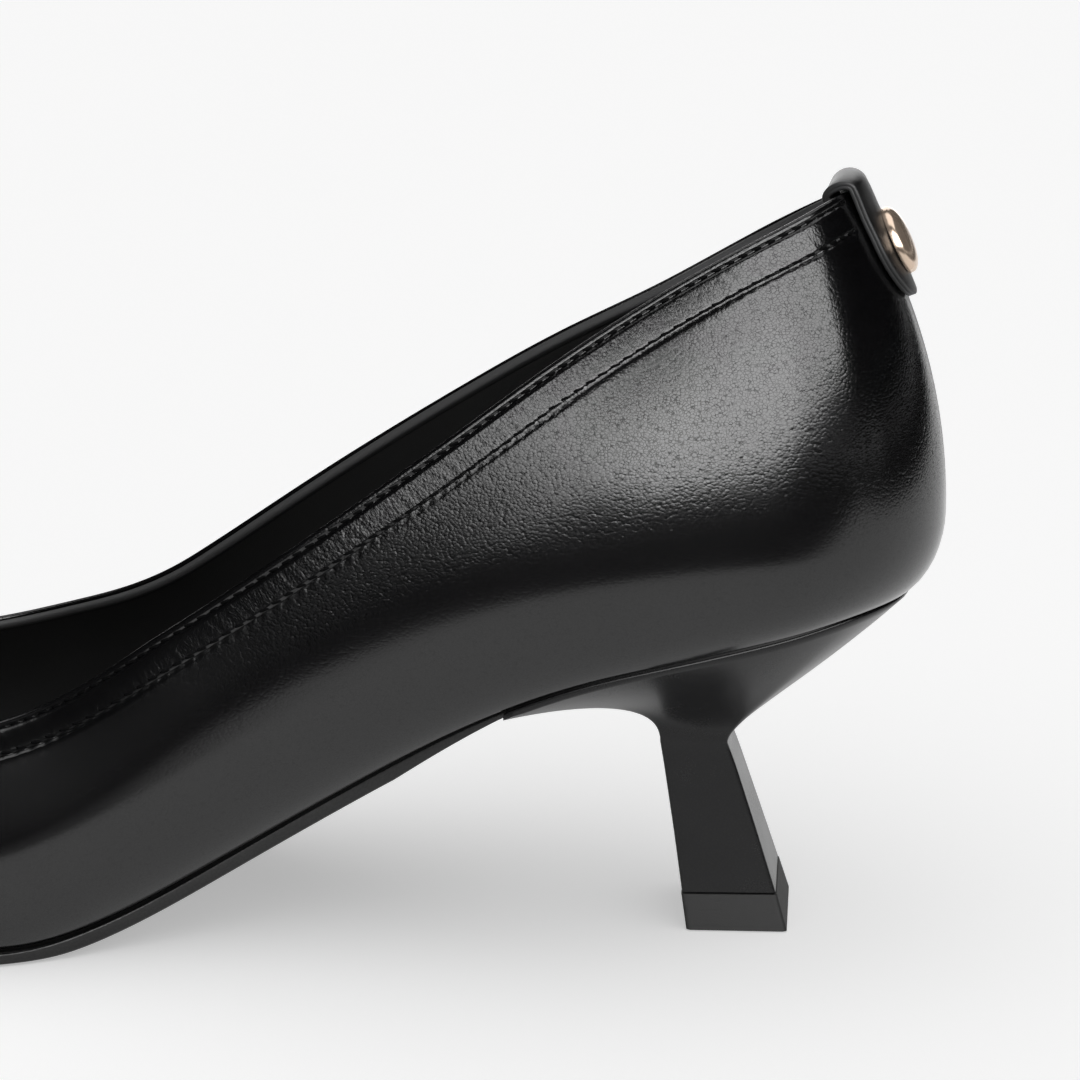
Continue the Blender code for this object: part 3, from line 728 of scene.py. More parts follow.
def makeStitches(grid, outside, edge, run, total, finish):
    look, sizes = threadLook, upperLook
    tree = BVHTree.FromPolygons(outside.tolist(), grid["quads"].tolist())
    closed = np.concatenate([edge, edge[:1]])
    closedRun = np.concatenate([run, [total]])
    start, end = sizes["tabClear"][0], total - sizes["tabClear"][1]
    middles = np.arange(start + sizes["stitchPitch"] / 2, end, sizes["stitchPitch"])
    throatFrom, footMiddle = 165, 40  # where the rows turn across the foot, and the height of its middle

    def onEdge(at):
        return np.stack([np.interp(at, closedRun, closed[:, k]) for k in range(3)], -1)

    points, faces, twists = [], [], []
    ring = np.linspace(0, 2 * math.pi, look["sides"], endpoint=False)
    ringSin, ringCos = np.sin(ring)[:, None], np.cos(ring)[:, None]
    ahead = np.linspace(-1, 1, look["rings"])
    for row in (sizes["topRow"], sizes["lowRow"]):
        for at in middles:
            top = onEdge(at)
            along = unit(onEdge(at + 0.6) - onEdge(at - 0.6))
            facing = np.array(tree.find_nearest(top)[1])
            down = unit(np.cross(along, facing))
            down = down if down[2] < 0 or top[0] > throatFrom and down[0] > 0 else -down
            spot, facing, _, _ = tree.find_nearest(top + down * row)
            spot, facing = np.array(spot), np.array(facing)
            facing = facing if np.dot(facing, top - np.array([top[0], 0, footMiddle])) > 0 else -facing
            across = unit(np.cross(facing, along))
            along = unit(np.cross(across, facing)) + look["slant"] * across
            base = len(points) * look["sides"]
            for a in ahead:  # from one hole to the next
                thick = look["radius"] * math.sqrt(max(1 - 0.75 * a ** 4, 0.05))
                height = look["proud"] - look["dive"] * a ** 4
                centre = spot + along * (a * look["length"] / 2) + facing * height
                points.append(centre + thick * (ringCos * across + ringSin * facing))
                twists.append(0.5 + 0.5 * np.sin(3 * ring + 9 * a))
            loops = base + np.arange(look["rings"] * look["sides"]).reshape(look["rings"], look["sides"])
            faces += [list(q) for q in ringQuads(loops)]
            faces += [list(loops[0][::-1]), list(loops[-1])]
    points = np.concatenate(points)
    stitches = makePiece("topline_stitching", points, faces, finish)
    paintPoints(stitches, "twist", np.concatenate(twists))


# lining inside the upper, with a smooth lip along the topline
liningLook = {
    "black": (0.0035, 0.0034, 0.0034),
    "worn": (0.006, 0.0058, 0.0057),
    # lighter lip tone: partly the binding's own leather, partly a painted highlight
    "lipToneAndPaintedSheen": (0.045, 0.045, 0.046),
    "roughness": 0.72,
    "lipRoughness": 0.6,
    "ior": 1.46,
    "pore": 0.4,
    "poreDepth": 0.02,
    "outside": 0.55,
    "inside": 1.8,
    "columns": 1.2,
    "rows": [0.7, 0.95, 1.2, 1.4, 1.52, 1.62, 1.74, 1.9, 2.4, 3.4, 5.0],
    "sideRows": 20,
    "lip": 0.28,
    "lipWidth": 1.65,
    "lipGroove": 0.08,
    "rollSteps": 6,
}


def liningFinish(name, look):
    finish = Finish(name, {"IOR": look["ior"]})
    at = finish.place()
    pores = finish.ramp(finish.cells(finish.warped(at, 0.8, 0.3), look["pore"]), 0.0, 0.25)
    fine = finish.noise(at, 0.15, 3.0)
    broad = finish.noise(at, 12.0, 3.0)
    lip = finish.painted("lip")
    finish.bump(pores * 0.5 + fine * 0.5, look["poreDepth"])
    onLip = (look["lipRoughness"] - look["roughness"]) * lip
    finish.feed("Roughness", look["roughness"] + onLip + 0.1 * (broad - 0.5))
    body = finish.mix(broad * pores, look["black"], look["worn"])
    # the lip gets the lighter tone, partly its own leather and partly painted highlight
    finish.feed("Base Color", finish.mix(lip, body, look["lipToneAndPaintedSheen"]))
    return finish.material


# plain smooth leather of the sock, the sole and the heel
def smoothLeatherFinish(name, look):
    finish = Finish(name, {"IOR": 1.48, "Specular IOR Level": look["gloss"]})
    at = finish.place()
    pores = finish.ramp(finish.cells(finish.warped(at, 0.8, 0.3), look["grain"]), 0.0, 0.25)
    fine = finish.noise(at, 0.2, 3.0)
    broad = finish.noise(at, 14.0, 3.0)
    finish.bump(pores * 0.6 + fine * 0.4, look["grainDepth"])
    finish.feed("Roughness", look["roughness"] + 0.12 * (broad - 0.5) + 0.05 * (fine - 0.5))
    finish.feed("Base Color", finish.mix(broad * pores, look["black"], look["worn"]))
    return finish.material


def makeLining(finish):
    look = liningLook
    grid = upperGrid(look["columns"], look["rows"], look["sideRows"])
    drop = nearEdge(grid)[0]
    width = look["lipWidth"]
    onLip = 1 - smooth(width - 0.15, width + 0.1, drop)
    lip = look["lip"] * onLip * np.sin(math.pi * np.clip(drop / width, 0, 1)) ** 0.5
    lip = lip - look["lipGroove"] * bump(drop, width + 0.1, 0.12)
    rows = np.arange(grid["rows"])
    walls = look["outside"], look["inside"]
    points, faces, used = shell(grid, grid["points"], *walls, rows, look["rollSteps"], lip[:, None])
    lining = makePiece("lining", points, faces, finish)
    lips = np.concatenate([onLip, onLip, np.ones(len(points) + 2 * len(onLip))])
    paintPoints(lining, "lip", lips[used])


# sock and board that the foot stands on, with a low crown and rounded edges
insoleLook = {
    "black": (0.009, 0.0088, 0.0086),
    "worn": (0.017, 0.016, 0.0155),
    "roughness": 0.5,
    "gloss": 0.4,
    "grain": 0.45,
    "grainDepth": 0.03,
    "thickness": 1.6,
    "inset": 2.2,
    "toeRoom": 7.0,
    "edge": 0.45,
    "crown": 0.25,
    "columns": 1.6,
}


def insetWidth(side, station, inset):  # keeps the same distance in from a slanting edge
    column = "feather" + sideName[side]
    step = 0.3
    slope = (last(column, station + step) - last(column, station - step)) / (2 * step)
    slope = np.where(station > lastSizes["heelAxis"], slope, 0)
    return last(column, station) - inset * np.hypot(1, slope)


def makeInsole(finish):
    look = insoleLook
    stations = footStations(look["columns"])
    stations = stations[(stations > backStation + 0.8) & (stations < shoeLength - look["toeRoom"])]
    low = last("featherZ", stations)
    sides = {}
    for side in (inner, outer):
        sides[side] = placed(side, stations, insetWidth(side, stations, look["inset"]), low)
    width = np.linalg.norm(sides[outer] - sides[inner], axis=1)
    rings = []
    edge, thick = look["edge"], look["thickness"]
    for across in np.concatenate([[0, 0.25, 0.6], np.linspace(1, 17, 14), [17.4, 17.75, 18]]) / 18:
        fromEdge = np.minimum(across, 1 - across) * width
        fall = np.clip(1 - fromEdge / edge, 0, 1)
        crown = look["crown"] * np.sin(math.pi * across)
        point = lerp(sides[inner], sides[outer], across)
        point[:, 2] += thick - edge * (1 - np.sqrt(np.clip(1 - fall ** 2, 0, 1))) + crown
        rings.append(point)
    rings += [sides[outer], lerp(sides[inner], sides[outer], 0.5), sides[inner]]
    rings = np.stack(rings, 1)
    faces = closedTube(rings)
    makePiece("sock_insole", rings.reshape(-1, 3), faces, finish, "insole", 60)


# thin sole with a waxed edge
soleLook = {
    "black": (0.0055, 0.0055, 0.0056),
    "worn": (0.013, 0.0128, 0.0125),
    "roughness": 0.36,
    "gloss": 0.45,
    "grain": 0.7,
    "grainDepth": 0.02,
    "breast": 66.6,
    "thickness": 2.7,
    "breastThickness": 0.8,
    "fullAt": 84.0,
    "topRound": 0.35,
    "lowRound": 0.75,
    "roll": 0.9,  # how softly the arch comes down onto the floor
    "columns": 0.9,
}
soleEdgeRows = [(67, -0.6), (95, -0.3), (130, 0.6), (160, 1.0), (242, soleProud)]
soleEdge = tableCurves("station proud", [], soleEdgeRows, toeStart, shoeLength)["proud"]


def soleTop(station):
    return last("featherZ", station) - lastSizes["gap"]


def makeSole(finish):
    look = soleLook
    stations = footStations(look["columns"])
    stations = np.concatenate([[look["breast"]], stations[stations > look["breast"] + 0.5]])
    thinEnd = soleEdgeRows[0][0]
    share = np.clip((stations - thinEnd) / (look["fullAt"] - thinEnd), 0, 1)
    top = soleTop(stations)
    low = top - lerp(look["breastThickness"], look["thickness"], share)
    # rolls onto the floor without a corner
    roll = look["roll"]
    low = (low + np.sqrt(low ** 2 + roll ** 2)) / 2
    low = np.where(low < roll / 4, low * smooth(0, roll / 4, low), low)
    thick = top - low
    proud = soleEdge(stretched(stations, toeStart, shoeLength))
    along = stations + proud * np.clip(stations - toeStart, 0, None) / (shoeLength - toeStart)
    centre = last("centre", stations)
    topRound = look["topRound"] * thick / look["thickness"]
    lowRound = look["lowRound"] * thick / look["thickness"]
    rings = []
    for side, order in ((inner, 1), (outer, -1)):
        half = last("feather" + sideName[side], stations) + proud
        half = np.maximum(half, 0.02)
        # round the edge: how far in from the side and how far down
        profile = [(half * 0.55, 0 * top), (half * 0.12, 0 * top)]
        for turn in np.linspace(0, math.pi / 2, 5):
            inset = np.minimum(topRound * (1 - math.sin(turn)), half)
            profile.append((inset, topRound * (1 - math.cos(turn))))
        profile.append((0 * top, thick / 2))
        for turn in np.linspace(0, math.pi / 2, 6):
            inset = np.minimum(lowRound * (1 - math.cos(turn)), half)
            profile.append((inset, thick - lowRound * (1 - math.sin(turn))))
        profile += [(half * 0.15, thick), (half * 0.55, thick)]
        line = []
        for inset, down in profile:
            width = np.maximum(half - inset, 0)
            line.append(np.stack([along, centre + side * width, top - down], -1))
        rings += line[::order]
    rings = np.stack(rings, 1)
    faces = closedTube(rings)
    makePiece("outsole_leather", rings.reshape(-1, 3), faces, finish, "outsole", 60)


# leather drawn smooth over the heel block
heelLook = {
    "black": (0.0085, 0.0085, 0.009),
    "worn": (0.014, 0.014, 0.0145),
    "roughness": 0.26,
    "gloss": 0.32,
    "grain": 0.5,
    "grainDepth": 0.003,
    "breast": 67.0,
    "inset": 0.3,
    "lip": 0.6,
    "tongueLip": 1.1,
    "lipRun": 0.33,
    "corner": 0.68,
    "edge": 0.45,
    "footRound": 0.3,
    "flareSteps": 30,
    "footHalf": 9.0,
    "rimInset": 0.22,
    # spacing of the columns of points, closer together next to the upright edges
    "frontEnds": [0.9, 0.94, 0.965, 0.985, 1],
    "sideEnds": [0.012, 0.025, 0.045, 0.07, 0.1],
    "backWays": [0.02, 0.045, 0.08, 0.13, 0.2, 0.3, 0.44, 0.58, 0.72, 0.86, 1],
}
stemRows = [  # height, front, back, half width at the front and at the back
    (30.0, 43.6, 33.0, 6.2, 6.0),
    (26.0, 42.9, 31.5, 6.5, 6.3),
    (16.0, 41.3, 28.2, 7.6, 7.2),
    (6.0, 39.8, 25.0, 9.1, 8.4),
]
flareRows = [  # how far round, inward share, rise and shoulder of the flare
    (0.0, 0.43, 4.0, 7.5),
    (0.4, 0.50, -0.5, 4.5),
    (1.0, 0.50, -1.5, 1.5),
]


def blockPoint(rows, backShare, across, z, edge):  # on a four-sided block with rounded upright edges
    table = np.array(rows)[::-1]
    front, back, halfFront, halfBack = (np.interp(z, table[:, 0], table[:, k]) for k in range(1, 5))
    depth = (front - back) / 2
    along = (0.5 - backShare) * 2 * depth
    half = lerp(halfFront, halfBack, backShare)
    sideways = across * half
    heldAlong = np.clip(along, edge - depth, depth - edge)
    heldAcross = np.clip(sideways, edge - half, half - edge)
    off = np.array([along - heldAlong, sideways - heldAcross])
    off *= edge / max(np.hypot(*off), 1e-9)
    return np.array([(front + back) / 2 + heldAlong + off[0], heldAcross + off[1], z])


# each column: point on the rim, where it lands on the stem, and how far round it is
def heelColumns(look):
    def rim(side, station):
        half = last("feather" + sideName[side], station) - look["inset"]
        return placed(side, station, half, soleTop(station))

    columns = []
    frontEnds = np.array(look["frontEnds"])
    spots = np.concatenate([-frontEnds[::-1], np.linspace(-0.8, 0.8, 15), frontEnds])
    ends = rim(outer, look["breast"]), rim(inner, look["breast"])
    for spot in spots:
        columns.append((lerp(*ends, (spot + 1) / 2), 0.0, -spot, 0.0))
    corner = look["corner"]
    sideEnds = np.array(look["sideEnds"])
    ways = np.concatenate([sideEnds * corner, np.linspace(0.15, 0.85, 15) * corner])
    ways = np.concatenate([ways, corner * (1 - sideEnds[::-1]), [corner]])
    ways = np.concatenate([ways, corner + (1 - corner) * np.array(look["backWays"])])
    flank = []
    for way in ways:
        across = 1 - max(way - corner, 0) / (1 - corner)
        flank.append((lerp(look["breast"], backStation, way), min(way / corner, 1), across, way))
    for station, backShare, across, way in flank:
        columns.append((rim(inner, station), backShare, inner * across, way))
    for station, backShare, across, way in flank[-2::-1]:
        columns.append((rim(outer, station), backShare, outer * across, way))
    return columns, len(spots), len(flank)


def makeHeel(finish):
    look = heelLook
    columns, frontCount, flankCount = heelColumns(look)
    flare = np.array(flareRows)
    waistZ, foot = stemRows[0][0], stemRows[-1][0]
    stemZ = np.concatenate([np.linspace(waistZ, foot + 1, 14)[1:], [foot + look["footRound"]]])
    shrink = 1 - look["footRound"] / look["footHalf"]
    lines = []
    for rim, backShare, across, way in columns:
        lip = lerp(look["tongueLip"], look["lip"], min(way / look["lipRun"], 1))
        start = rim - np.array([0, 0, lip])
        waist = blockPoint(stemRows, backShare, across, waistZ, look["edge"])
        inward, rise, shoulder = (np.interp(way, flare[:, 0], flare[:, k]) for k in (1, 2, 3))
        first = lerp(start, waist, inward) + np.array([0, 0, rise])
        second = waist + np.array([0, 0, shoulder])
        # over the rounded rim, down the flare as one smooth bend, then down the stem
        inset = unit(np.array([waist[0] - rim[0], waist[1] - rim[1], 0.0])) * look["rimInset"]
        line = [rim + inset, rim - np.array([0, 0, 0.12]) + inset * 0.3, rim - np.array([0, 0, 0.3]), start]
        for t in np.linspace(0, 1, look["flareSteps"] + 1)[1:]:
            u = 1 - t
            line.append(u ** 3 * start + 3 * u * u * t * first + 3 * u * t * t * second + t ** 3 * waist)
        for z in stemZ:
            line.append(blockPoint(stemRows, backShare, across, z, look["edge"]))
        line.append(blockPoint(stemRows, lerp(0.5, backShare, shrink), across * shrink, foot, look["edge"]))
        lines.append(line)
    points = np.array(lines)
    numbers = gridNumbers(points)
    faces = [list(q) for q in ringQuads(numbers.T)]
    faces.append(list(numbers[:, -1]))
    # the seat under the upper, as strips from side to side
    front = numbers[:frontCount, 0]
    innerRim = numbers[frontCount:frontCount + flankCount, 0]
    outerRim = np.concatenate([numbers[:frontCount + flankCount - 1:-1, 0], innerRim[-1:]])
    faces.append(list(front) + [innerRim[0], outerRim[0]])
    for i in range(flankCount - 1):
        faces.append([outerRim[i], innerRim[i], innerRim[i + 1], outerRim[i + 1]])
    makePiece("heel_cover", points.reshape(-1, 3), faces, finish, "heel", 62)


# hard rubber lift with a fine step under the heel cover and a worn lower edge
liftLook = {
    "black": (0.010, 0.010, 0.010),
    "worn": (0.018, 0.018, 0.018),
    "roughness": 0.62,
    "gloss": 0.4,
    "edge": 0.55,
    "chamfer": 0.35,
    "footRound": 0.6,
    "footHalf": 9.0,
    "ends": [0, 0.02, 0.045, 0.075, 0.12],  # spacing of the points next to the upright edges
}
liftRows = [(5.7, 39.9, 24.8, 9.3, 8.5), (0.0, 39.0, 23.1, 10.3, 9.8)]


def rubberFinish(name, look):
    finish = Finish(name, {"IOR": 1.46, "Specular IOR Level": look["gloss"]})
    at = finish.place()
    fine = finish.noise(at, 0.14, 3.0)
    scuffs = finish.ramp(finish.noise(finish.place((6, 6, 0.7)), 1.1, 3.0), 0.56, 0.72)
    broad = finish.noise(at, 5.0, 2.0)
    finish.bump(fine * 0.7 - scuffs * 0.3, 0.03)
    finish.feed("Roughness", look["roughness"] + 0.1 * (broad - 0.5) + 0.06 * scuffs)
    finish.feed("Base Color", finish.mix(broad * 0.7 + scuffs * 0.2, look["black"], look["worn"]))
    return finish.material


def makeLift(finish):
    look = liftLook
    ends = np.array(look["ends"])
    stops = np.concatenate([ends, np.linspace(0.2, 0.8, 7), 1 - ends[::-1]])
    loop = [(0.0, 1 - 2 * s) for s in stops] + [(s, -1.0) for s in stops[1:]]
    loop += [(1.0, 2 * s - 1) for s in stops[1:]] + [(1 - s, 1.0) for s in stops[1:-1]]
    top, chamfer, footRound = liftRows[0][0], look["chamfer"], look["footRound"]
    levels = [(top, chamfer)]  # height and inset
    for turn in (0.25, 0.5, 0.75, 1.0):
        levels.append((top - chamfer * turn, chamfer * (1 - turn) ** 1.5))
    levels += [(z, 0.0) for z in np.linspace(4.6, footRound, 5)]
    for turn in np.linspace(0, math.pi / 2, 6)[1:]:
        levels.append((footRound * (1 - math.sin(turn)), footRound * (1 - math.cos(turn))))
    rings = []
    for z, inset in levels:
        shrink = 1 - inset / look["footHalf"]
        ring = [blockPoint(liftRows, lerp(0.5, b, shrink), a * shrink, z, look["edge"]) for b, a in loop]
        rings.append(ring)
    rings = np.array(rings)
    faces = closedTube(rings)
    makePiece("top_lift_rubber", rings.reshape(-1, 3), faces, finish, "top_lift", 50)


# the back of the upper, by sideways offset and height
def backAt(side, sideways, z):
    angle = np.zeros(np.broadcast(sideways, z).shape)
    for _ in range(8):
        width = wallWidth(side, heelStation(np.degrees(angle)), z)
        angle = np.arcsin(np.clip(np.abs(sideways) / width, 0, 1))
    station = heelStation(np.degrees(angle))
    return station, placed(side, station, wallWidth(side, station, z), z)


def backPoint(sideways, z):
    points = [backAt(side, sideways, z)[1] for side in (inner, outer)]
    return np.where(np.expand_dims(sideways < 0, -1), *points)


def backEdge(sideways):  # height of the topline
    z = np.full(sideways.shape, toplineHeelRows[0][3])
    for _ in range(8):
        heights = [topline(side, backAt(side, sideways, z)[0])[1] for side in (inner, outer)]
        z = np.where(sideways < 0, *heights)
    return z


def backFrame(sideways, z):  # point, outward and upward directions
    step = 0.3
    point = backPoint(sideways, z)
    up = unit(point - backPoint(sideways, z - step))
    across = backPoint(sideways + step, z) - backPoint(sideways - step, z)
    return point, unit(np.cross(up, across)), up


# strip of leather folded over the topline, with painted and grooved edges
tabLook = {
    "black": (0.006, 0.006, 0.0064),
    "worn": (0.012, 0.012, 0.0125),
    "edgePaint": (0.017, 0.017, 0.018),
    "roughness": 0.38,
    "ior": 1.5,
    "grain": 0.42,
    "grainDepth": 0.02,
    "width": 18.6,
    "thickness": 1.35,
    "lowEdge": 101.3,
    "endRound": 8.5,
    "inside": 12.0,
    "foldMiddle": 1.5,
    "foldSide": 0.45,
    "ease": 0.4,  # how far the strip stands off where it bends over the edge
    "easeRun": 5.0,
    "edgeRound": 0.28,
    "groove": 0.05,
    "endSteps": 14,
    "legSteps": 7,
    "foldSteps": 18,
}


def tabFinish(name, look):
    finish = Finish(name, {"IOR": look["ior"]})
    at = finish.place()
    grain = finish.ramp(finish.cells(finish.warped(at, 0.7, 0.3), look["grain"]), 0.0, 0.2)
    fine = finish.noise(at, 0.2, 3.0)
    broad = finish.noise(at, 5.0, 2.0)
    edge = finish.painted("paintedEdge")
    finish.bump((1 - edge) * grain * 0.6 + fine * 0.4, look["grainDepth"])
    finish.feed("Roughness", look["roughness"] + 0.12 * edge + 0.1 * (broad - 0.5))
    face = finish.mix(broad * grain, look["black"], look["worn"])
    finish.feed("Base Color", finish.mix(edge, face, look["edgePaint"]))
    return finish.material


def tabEdge(look):  # down one edge of the strip: inset, height and how much of it is painted
    thick, rounding = look["thickness"], look["edgeRound"]
    turns = np.linspace(0, math.pi / 2, 5)
    edge = []
    for t in turns:
        edge.append((rounding * (1 - math.sin(t)), rounding * (1 - math.cos(t)), float(t > 0.3)))
    for height in (0.4, 0.46, 0.5, 0.54, 0.6):
        edge.append((look["groove"] * bump(height, 0.5, 0.04), thick * height, 1.0))
    for t in turns:
        edge.append((rounding * (1 - math.cos(t)), thick - rounding * (1 - math.sin(t)), float(t < 1.3)))
    return edge


def makeTab(finish):
    look, wall, gap = tabLook, lastSizes["wall"], lastSizes["gap"]
    edge = tabEdge(look)
    half, endRound, thick = look["width"] / 2, look["endRound"], look["thickness"]
    across = [-0.8, -0.5, -0.2, 0.2, 0.5, 0.8]
    # round the strip's section: share of the half width, inset, height, painted
    section = [(w, look["edgeRound"], 0.0, 0.0) for w in across] + [(1, *e) for e in edge]
    section += [(w, look["edgeRound"], thick, 0.0) for w in across[::-1]] + [(-1, *e) for e in edge[::-1]]
    share, inset, height, painted = (np.array(column) for column in zip(*section))
    outLength = toplineHeelRows[0][3] - look["lowEdge"]
    turns = np.linspace(0, math.pi / 2, look["endSteps"])
    # along the strip: which leg, how far round its rounded end, or how far along it
    rows = [("out", t, None) for t in turns]
    rows += [("out", None, z) for z in np.linspace(endRound, outLength, look["legSteps"])[1:-1]]
    rows += [("fold", None, t) for t in np.linspace(0, 1, look["foldSteps"] + 1)]
    rows += [("in", None, z) for z in np.linspace(look["inside"], endRound, look["legSteps"])[1:-1]]
    rows += [("in", t, None) for t in turns[::-1]]
    rings = []
    for leg, turn, way in rows:
        if turn is None:
            sideways, fromEnd = share * (half - inset), way
        else:
            sideways = share * (half - endRound + (endRound - inset) * math.sin(turn))
            fromEnd = endRound - (endRound - inset) * math.cos(turn)
        top = backEdge(sideways)
        if leg == "fold":
            point, out, up = backFrame(sideways, top)
            rise = lerp(look["foldMiddle"], look["foldSide"], (sideways / half) ** 2)
            spread = math.cos(math.pi * way) * (wall / 2 + gap + look["ease"] + height)
            lift = math.sin(math.pi * way) * (rise + height)
            rings.append(point - out * wall / 2 + out * spread[:, None] + up * lift[:, None])
            continue
        outside = leg == "out"
        z = lerp(look["lowEdge"], top, fromEnd / outLength) if outside else top - look["inside"] + fromEnd
        point, out, up = backFrame(sideways, z)
        off = gap + look["ease"] * smooth(top - look["easeRun"], top, z) + height
        rings.append(point + out * (off if outside else -wall - off)[:, None])
    points = np.array(rings)
    numbers = gridNumbers(points)
    faces = [list(q) for q in ringQuads(numbers)]
    # each end is closed by strips from one edge to the other
    n, k = len(across), len(edge)
    for ring in (numbers[0], numbers[-1]):
        low, right, high, left = ring[:n], ring[n:n + k], ring[n + k:2 * n + k], ring[2 * n + k:][::-1]
        faces.append([right[0], right[1], left[1], left[0], *low])
        faces += [[right[i], right[i + 1], left[i + 1], left[i]] for i in range(1, k - 2)]
        faces.append([right[-2], right[-1], *high, left[-1], left[-2]])
    tab = makePiece("heel_tab_leather", points.reshape(-1, 3), faces, finish, "heel_tab", 60)
    paintPoints(tab, "paintedEdge", np.tile(painted, len(rows)))


# domed stud with a plain rim
studLook = {
    "gold": (0.82, 0.66, 0.52),
    "deep": (0.68, 0.51, 0.39),
    "roughness": 0.16,
    "metal": 0.7,
    "height": 108.9,
    "sunk": 0.25,
    "diameter": 10.8,
    "rise": 2.6,
    "rim": 0.7,
    "steps": 72,
}


def goldFinish(name, look):
    finish = Finish(name, {"Metallic": look["metal"]})
    at = finish.place()
    broad = finish.noise(at, 2.5, 2.0)
    brushed = finish.noise(finish.place((1, 6, 1)), 0.12, 2.0)
    finish.bump(brushed, 0.004)
    finish.feed("Roughness", look["roughness"] + 0.08 * (broad - 0.4) + 0.05 * (brushed - 0.5))
    finish.feed("Base Color", finish.mix(broad, look["deep"], look["gold"]))
    return finish.material


def makeStud(finish):
    look = studLook
    radius, rise, rim = look["diameter"] / 2, look["rise"], look["rim"]
    profile = [(0.0, 0.0), (radius * 0.6, 0.0), (radius - 0.2, 0.0)]
    profile += [(radius - 0.06, 0.05), (radius, 0.18), (radius, rim)]
    for turn in np.linspace(0, math.pi / 2, 20)[1:-1]:
        profile.append((radius * math.cos(turn) ** 0.9, rim + (rise - rim) * math.sin(turn) ** 0.95))
    profile.append((0.0, rise))
    point, out, up = (v[0] for v in backFrame(np.array([0.0]), np.array([look["height"]])))
    base = point + out * (lastSizes["gap"] + tabLook["thickness"] - look["sunk"])
    across = unit(np.cross(out, up))
    above = np.cross(across, out)
    turn = np.linspace(0, 2 * math.pi, look["steps"], endpoint=False)[:, None]
    around = np.cos(turn) * across + np.sin(turn) * above
    points = np.array([base + out * h + r * around for r, h in profile])
    numbers = gridNumbers(points)
    numbers[0], numbers[-1] = numbers[0, 0], numbers[-1, 0]
    faces = ringQuads(numbers)
    used = np.unique(faces)
    renumber = np.zeros(faces.max() + 1, int)
    renumber[used] = np.arange(len(used))
    makePiece("gold_stud", points.reshape(-1, 3)[used], renumber[faces], finish, "tab_stud", 60)


grid, outside, edge, run, total = makeUpper(calfFinish("pebbled_calf", calfLook))
makeStitches(grid, outside, edge, run, total, threadFinish("waxed_thread", threadLook))
makeLining(liningFinish("lining_leather", liningLook))
makeInsole(smoothLeatherFinish("sock_leather", insoleLook))
makeSole(smoothLeatherFinish("waxed_sole_leather", soleLook))
makeHeel(smoothLeatherFinish("covered_heel", heelLook))
makeLift(rubberFinish("lift_rubber", liftLook))
makeTab(tabFinish("tab_leather", tabLook))
makeStud(goldFinish("pale_gold", studLook))

# floor, light and camera
studioLook = {
    "floor": (0.82, 0.82, 0.82),
    "floorReach": 8.0,
    "floorZ": -0.00015,  # a hair under the sole
    "glow": 0.42,  # the floor's own light, which keeps the shadows pale
    "backdrop": (0.90, 0.90, 0.90),
    "dome": 1.98,
    "domeAngle": 100.0,
    "domePlace": (0.15, -0.25, 2.0),
    # soft boxes that show in the gloss: centre, aim, width, height, roll in degrees, brightness;
    # front_glow is round
    "boxes": {
        "front_box": ((0.341, -0.32, 0.314), (0.341, 0.0, 0.314), 0.72, 0.36, 14, 5.5),
        "side_box": ((-0.0277, -0.32, 0.1815), (-0.0277, 0.0, 0.1815), 0.04, 0.28, 38, 5.6),
        "fade_box": ((-0.066, -0.32, 0.1705), (-0.066, 0.0, 0.1705), 0.040, 0.25, 38, 3.7),
        "front_glow": ((0.12, -0.31, 0.13), (0.12, 0.0, 0.13), 0.22, 0.14, 14, 1.3),
        "back_box": ((0.0, 0.9, 0.35), (0.0, 0.0, 0.35), 0.6, 0.7, 0, 1.6),
        "top_box": ((0.0, 0.1, 1.0), (0.0, 0.1, 0.0), 1.3, 1.0, 0, 1.6),
    },
    # black cards that end the white in the gloss, two on the floor and three upright: cover and corners
    "cards": {
        "front_card": (1.0, [
            (-1.5, -3.0, 0.004), (1.5, -3.0, 0.004), (1.5, -0.20, 0.004), (-1.5, -0.20, 0.004)]),
        "right_card": (1.0, [
            (0.48, -0.20, 0.004), (3.0, -0.20, 0.004), (3.0, 3.0, 0.004), (0.48, 3.0, 0.004)]),
        "toe_card": (1.0, [
            (-0.30, -0.12, 0.03), (0.008, -0.12, 0.03), (0.002, -0.12, 0.055), (-0.045, -0.12, 0.10),
            (-0.045, -0.12, 0.35), (-0.30, -0.12, 0.35)]),
        "toe_fade": (0.8, [
            (-0.30, -0.12, 0.0), (0.011, -0.12, 0.0), (0.004, -0.12, 0.03), (-0.30, -0.12, 0.03)]),
        "toe_fade_end": (0.5, [
            (0.011, -0.12, 0.0), (0.019, -0.12, 0.0), (0.012, -0.12, 0.03), (0.004, -0.12, 0.03)]),
    },
    "camera": (17.0, -571.9, 236.2),  # in shoe millimetres, as the target
    "target": (63.0, 0.0, 60.8),
    "lens": 127.7,
}


def floorFinish(look):
    matte = {"Roughness": 0.9, "Specular IOR Level": 0.0}
    glow = {"Emission Color": (1, 1, 1, 1), "Emission Strength": look["glow"]}
    finish = Finish("studio_floor", {**matte, **glow})
    soft = finish.noise(finish.place(), 260.0)
    tone = look["floor"]
    finish.feed("Base Color", finish.mix(soft, tone, [c * 1.01 for c in tone]))
    return finish.material


def flatPiece(name, corners, material):
    mesh = bpy.data.meshes.new(name)
    mesh.from_pydata(corners, [], [range(len(corners))])
    mesh.materials.append(material)
    piece = bpy.data.objects.new(name, mesh)
    bpy.context.scene.collection.objects.link(piece)
    return piece


def makeFloor(look):
    reach = look["floorReach"]
    corners = [(-reach, -reach), (reach, -reach), (reach, reach), (-reach, reach)]
    floor = flatPiece("floor", [(x, y, look["floorZ"]) for x, y in corners], floorFinish(look))


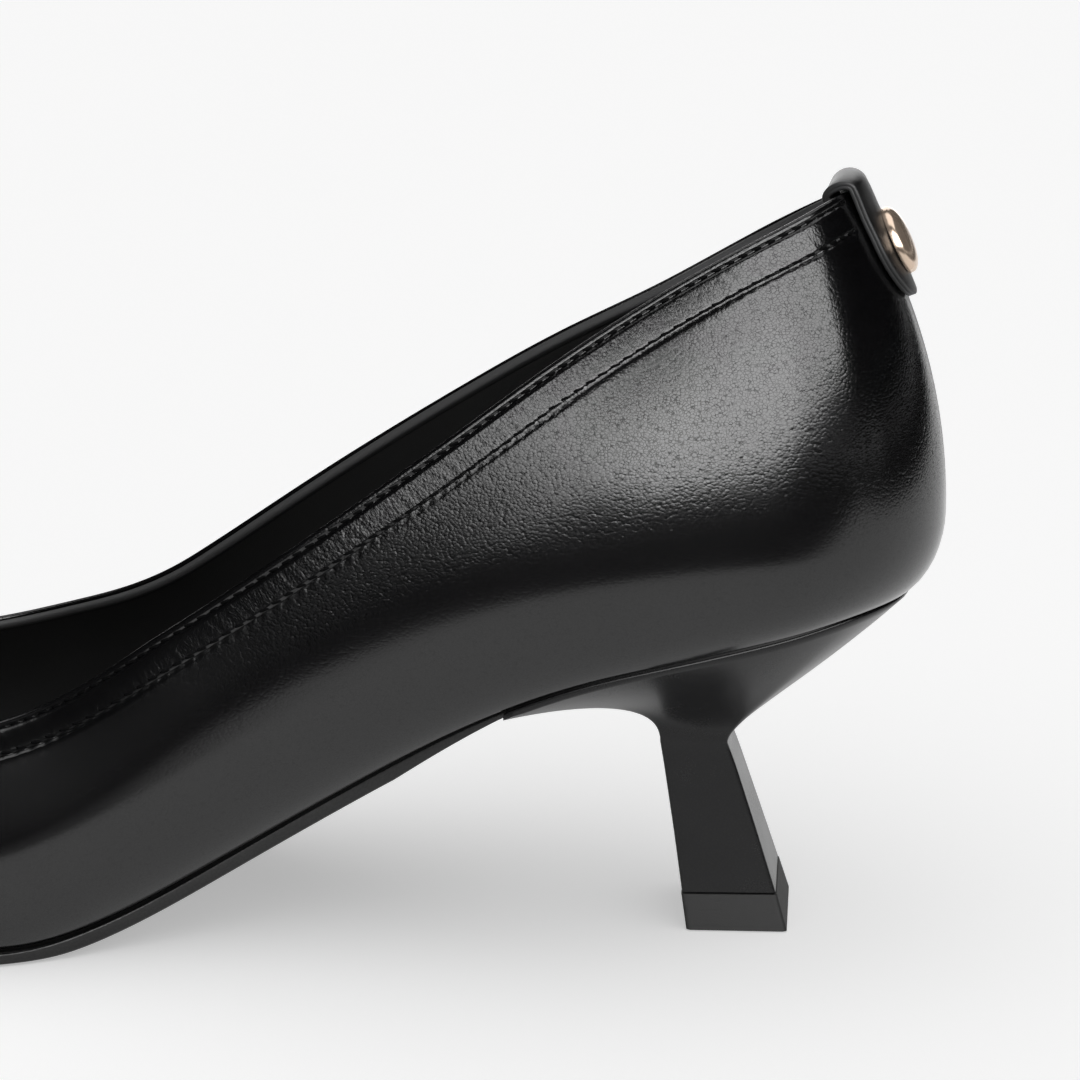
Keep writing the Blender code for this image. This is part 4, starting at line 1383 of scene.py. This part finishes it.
def makeCard(name, cover, corners):  # a black card that only reflections see
    matte = {"Roughness": 1.0, "Specular IOR Level": 0.0, "Alpha": cover}
    black = Finish("card_black", {**matte, "Base Color": (0.002, 0.002, 0.002, 1)})
    card = flatPiece(name, corners, black.material)
    for ray in ("camera", "diffuse", "shadow", "transmission"):
        setattr(card, "visible_" + ray, False)


def addLight(kind, name, place, aim, power, roll=0, **settings):
    light = bpy.data.lights.new(name, kind)
    light.energy = power
    for key, value in settings.items():
        setattr(light, key, value)
    lamp = bpy.data.objects.new(name, light)
    bpy.context.scene.collection.objects.link(lamp)
    lamp.location = place
    facing = (Vector(aim) - Vector(place)).to_track_quat("-Z", "Y")
    lamp.rotation_euler = (facing @ Quaternion((0, 0, 1), math.radians(roll))).to_euler()
    lamp.visible_camera = False
    return lamp


makeFloor(studioLook)
for name, (cover, corners) in studioLook["cards"].items():
    makeCard(name, cover, corners)
wide = math.radians(studioLook["domeAngle"])
dome = addLight("SUN", "dome", studioLook["domePlace"], (0, 0, 0), studioLook["dome"], angle=wide)
dome.visible_glossy = False
for name, (place, aim, width, height, roll, brightness) in studioLook["boxes"].items():
    shape = "ELLIPSE" if name == "front_glow" else "RECTANGLE"
    power = brightness * math.pi * width * height * (math.pi / 4 if shape == "ELLIPSE" else 1)
    box = addLight("AREA", name, place, aim, power, roll, shape=shape, size=width, size_y=height)
    box.visible_diffuse = False

world = bpy.data.worlds.new("studio")
bpy.context.scene.world = world
world.use_nodes = True
world.node_tree.nodes["Background"].inputs["Color"].default_value = (*studioLook["backdrop"], 1)
for ray in ("diffuse", "glossy", "transmission", "scatter"):
    setattr(world.cycles_visibility, ray, False)

camera = bpy.data.objects.new("camera", bpy.data.cameras.new("camera"))
bpy.context.scene.collection.objects.link(camera)
camera.location = toWorld(studioLook["camera"])
aim = Vector(toWorld(studioLook["target"])) - camera.location
camera.rotation_euler = aim.to_track_quat("-Z", "Y").to_euler()
camera.data.lens = studioLook["lens"]
camera.data.clip_start = 0.01
bpy.context.scene.camera = camera
bpy.context.scene.view_settings.view_transform = "Standard"
print("studio set")
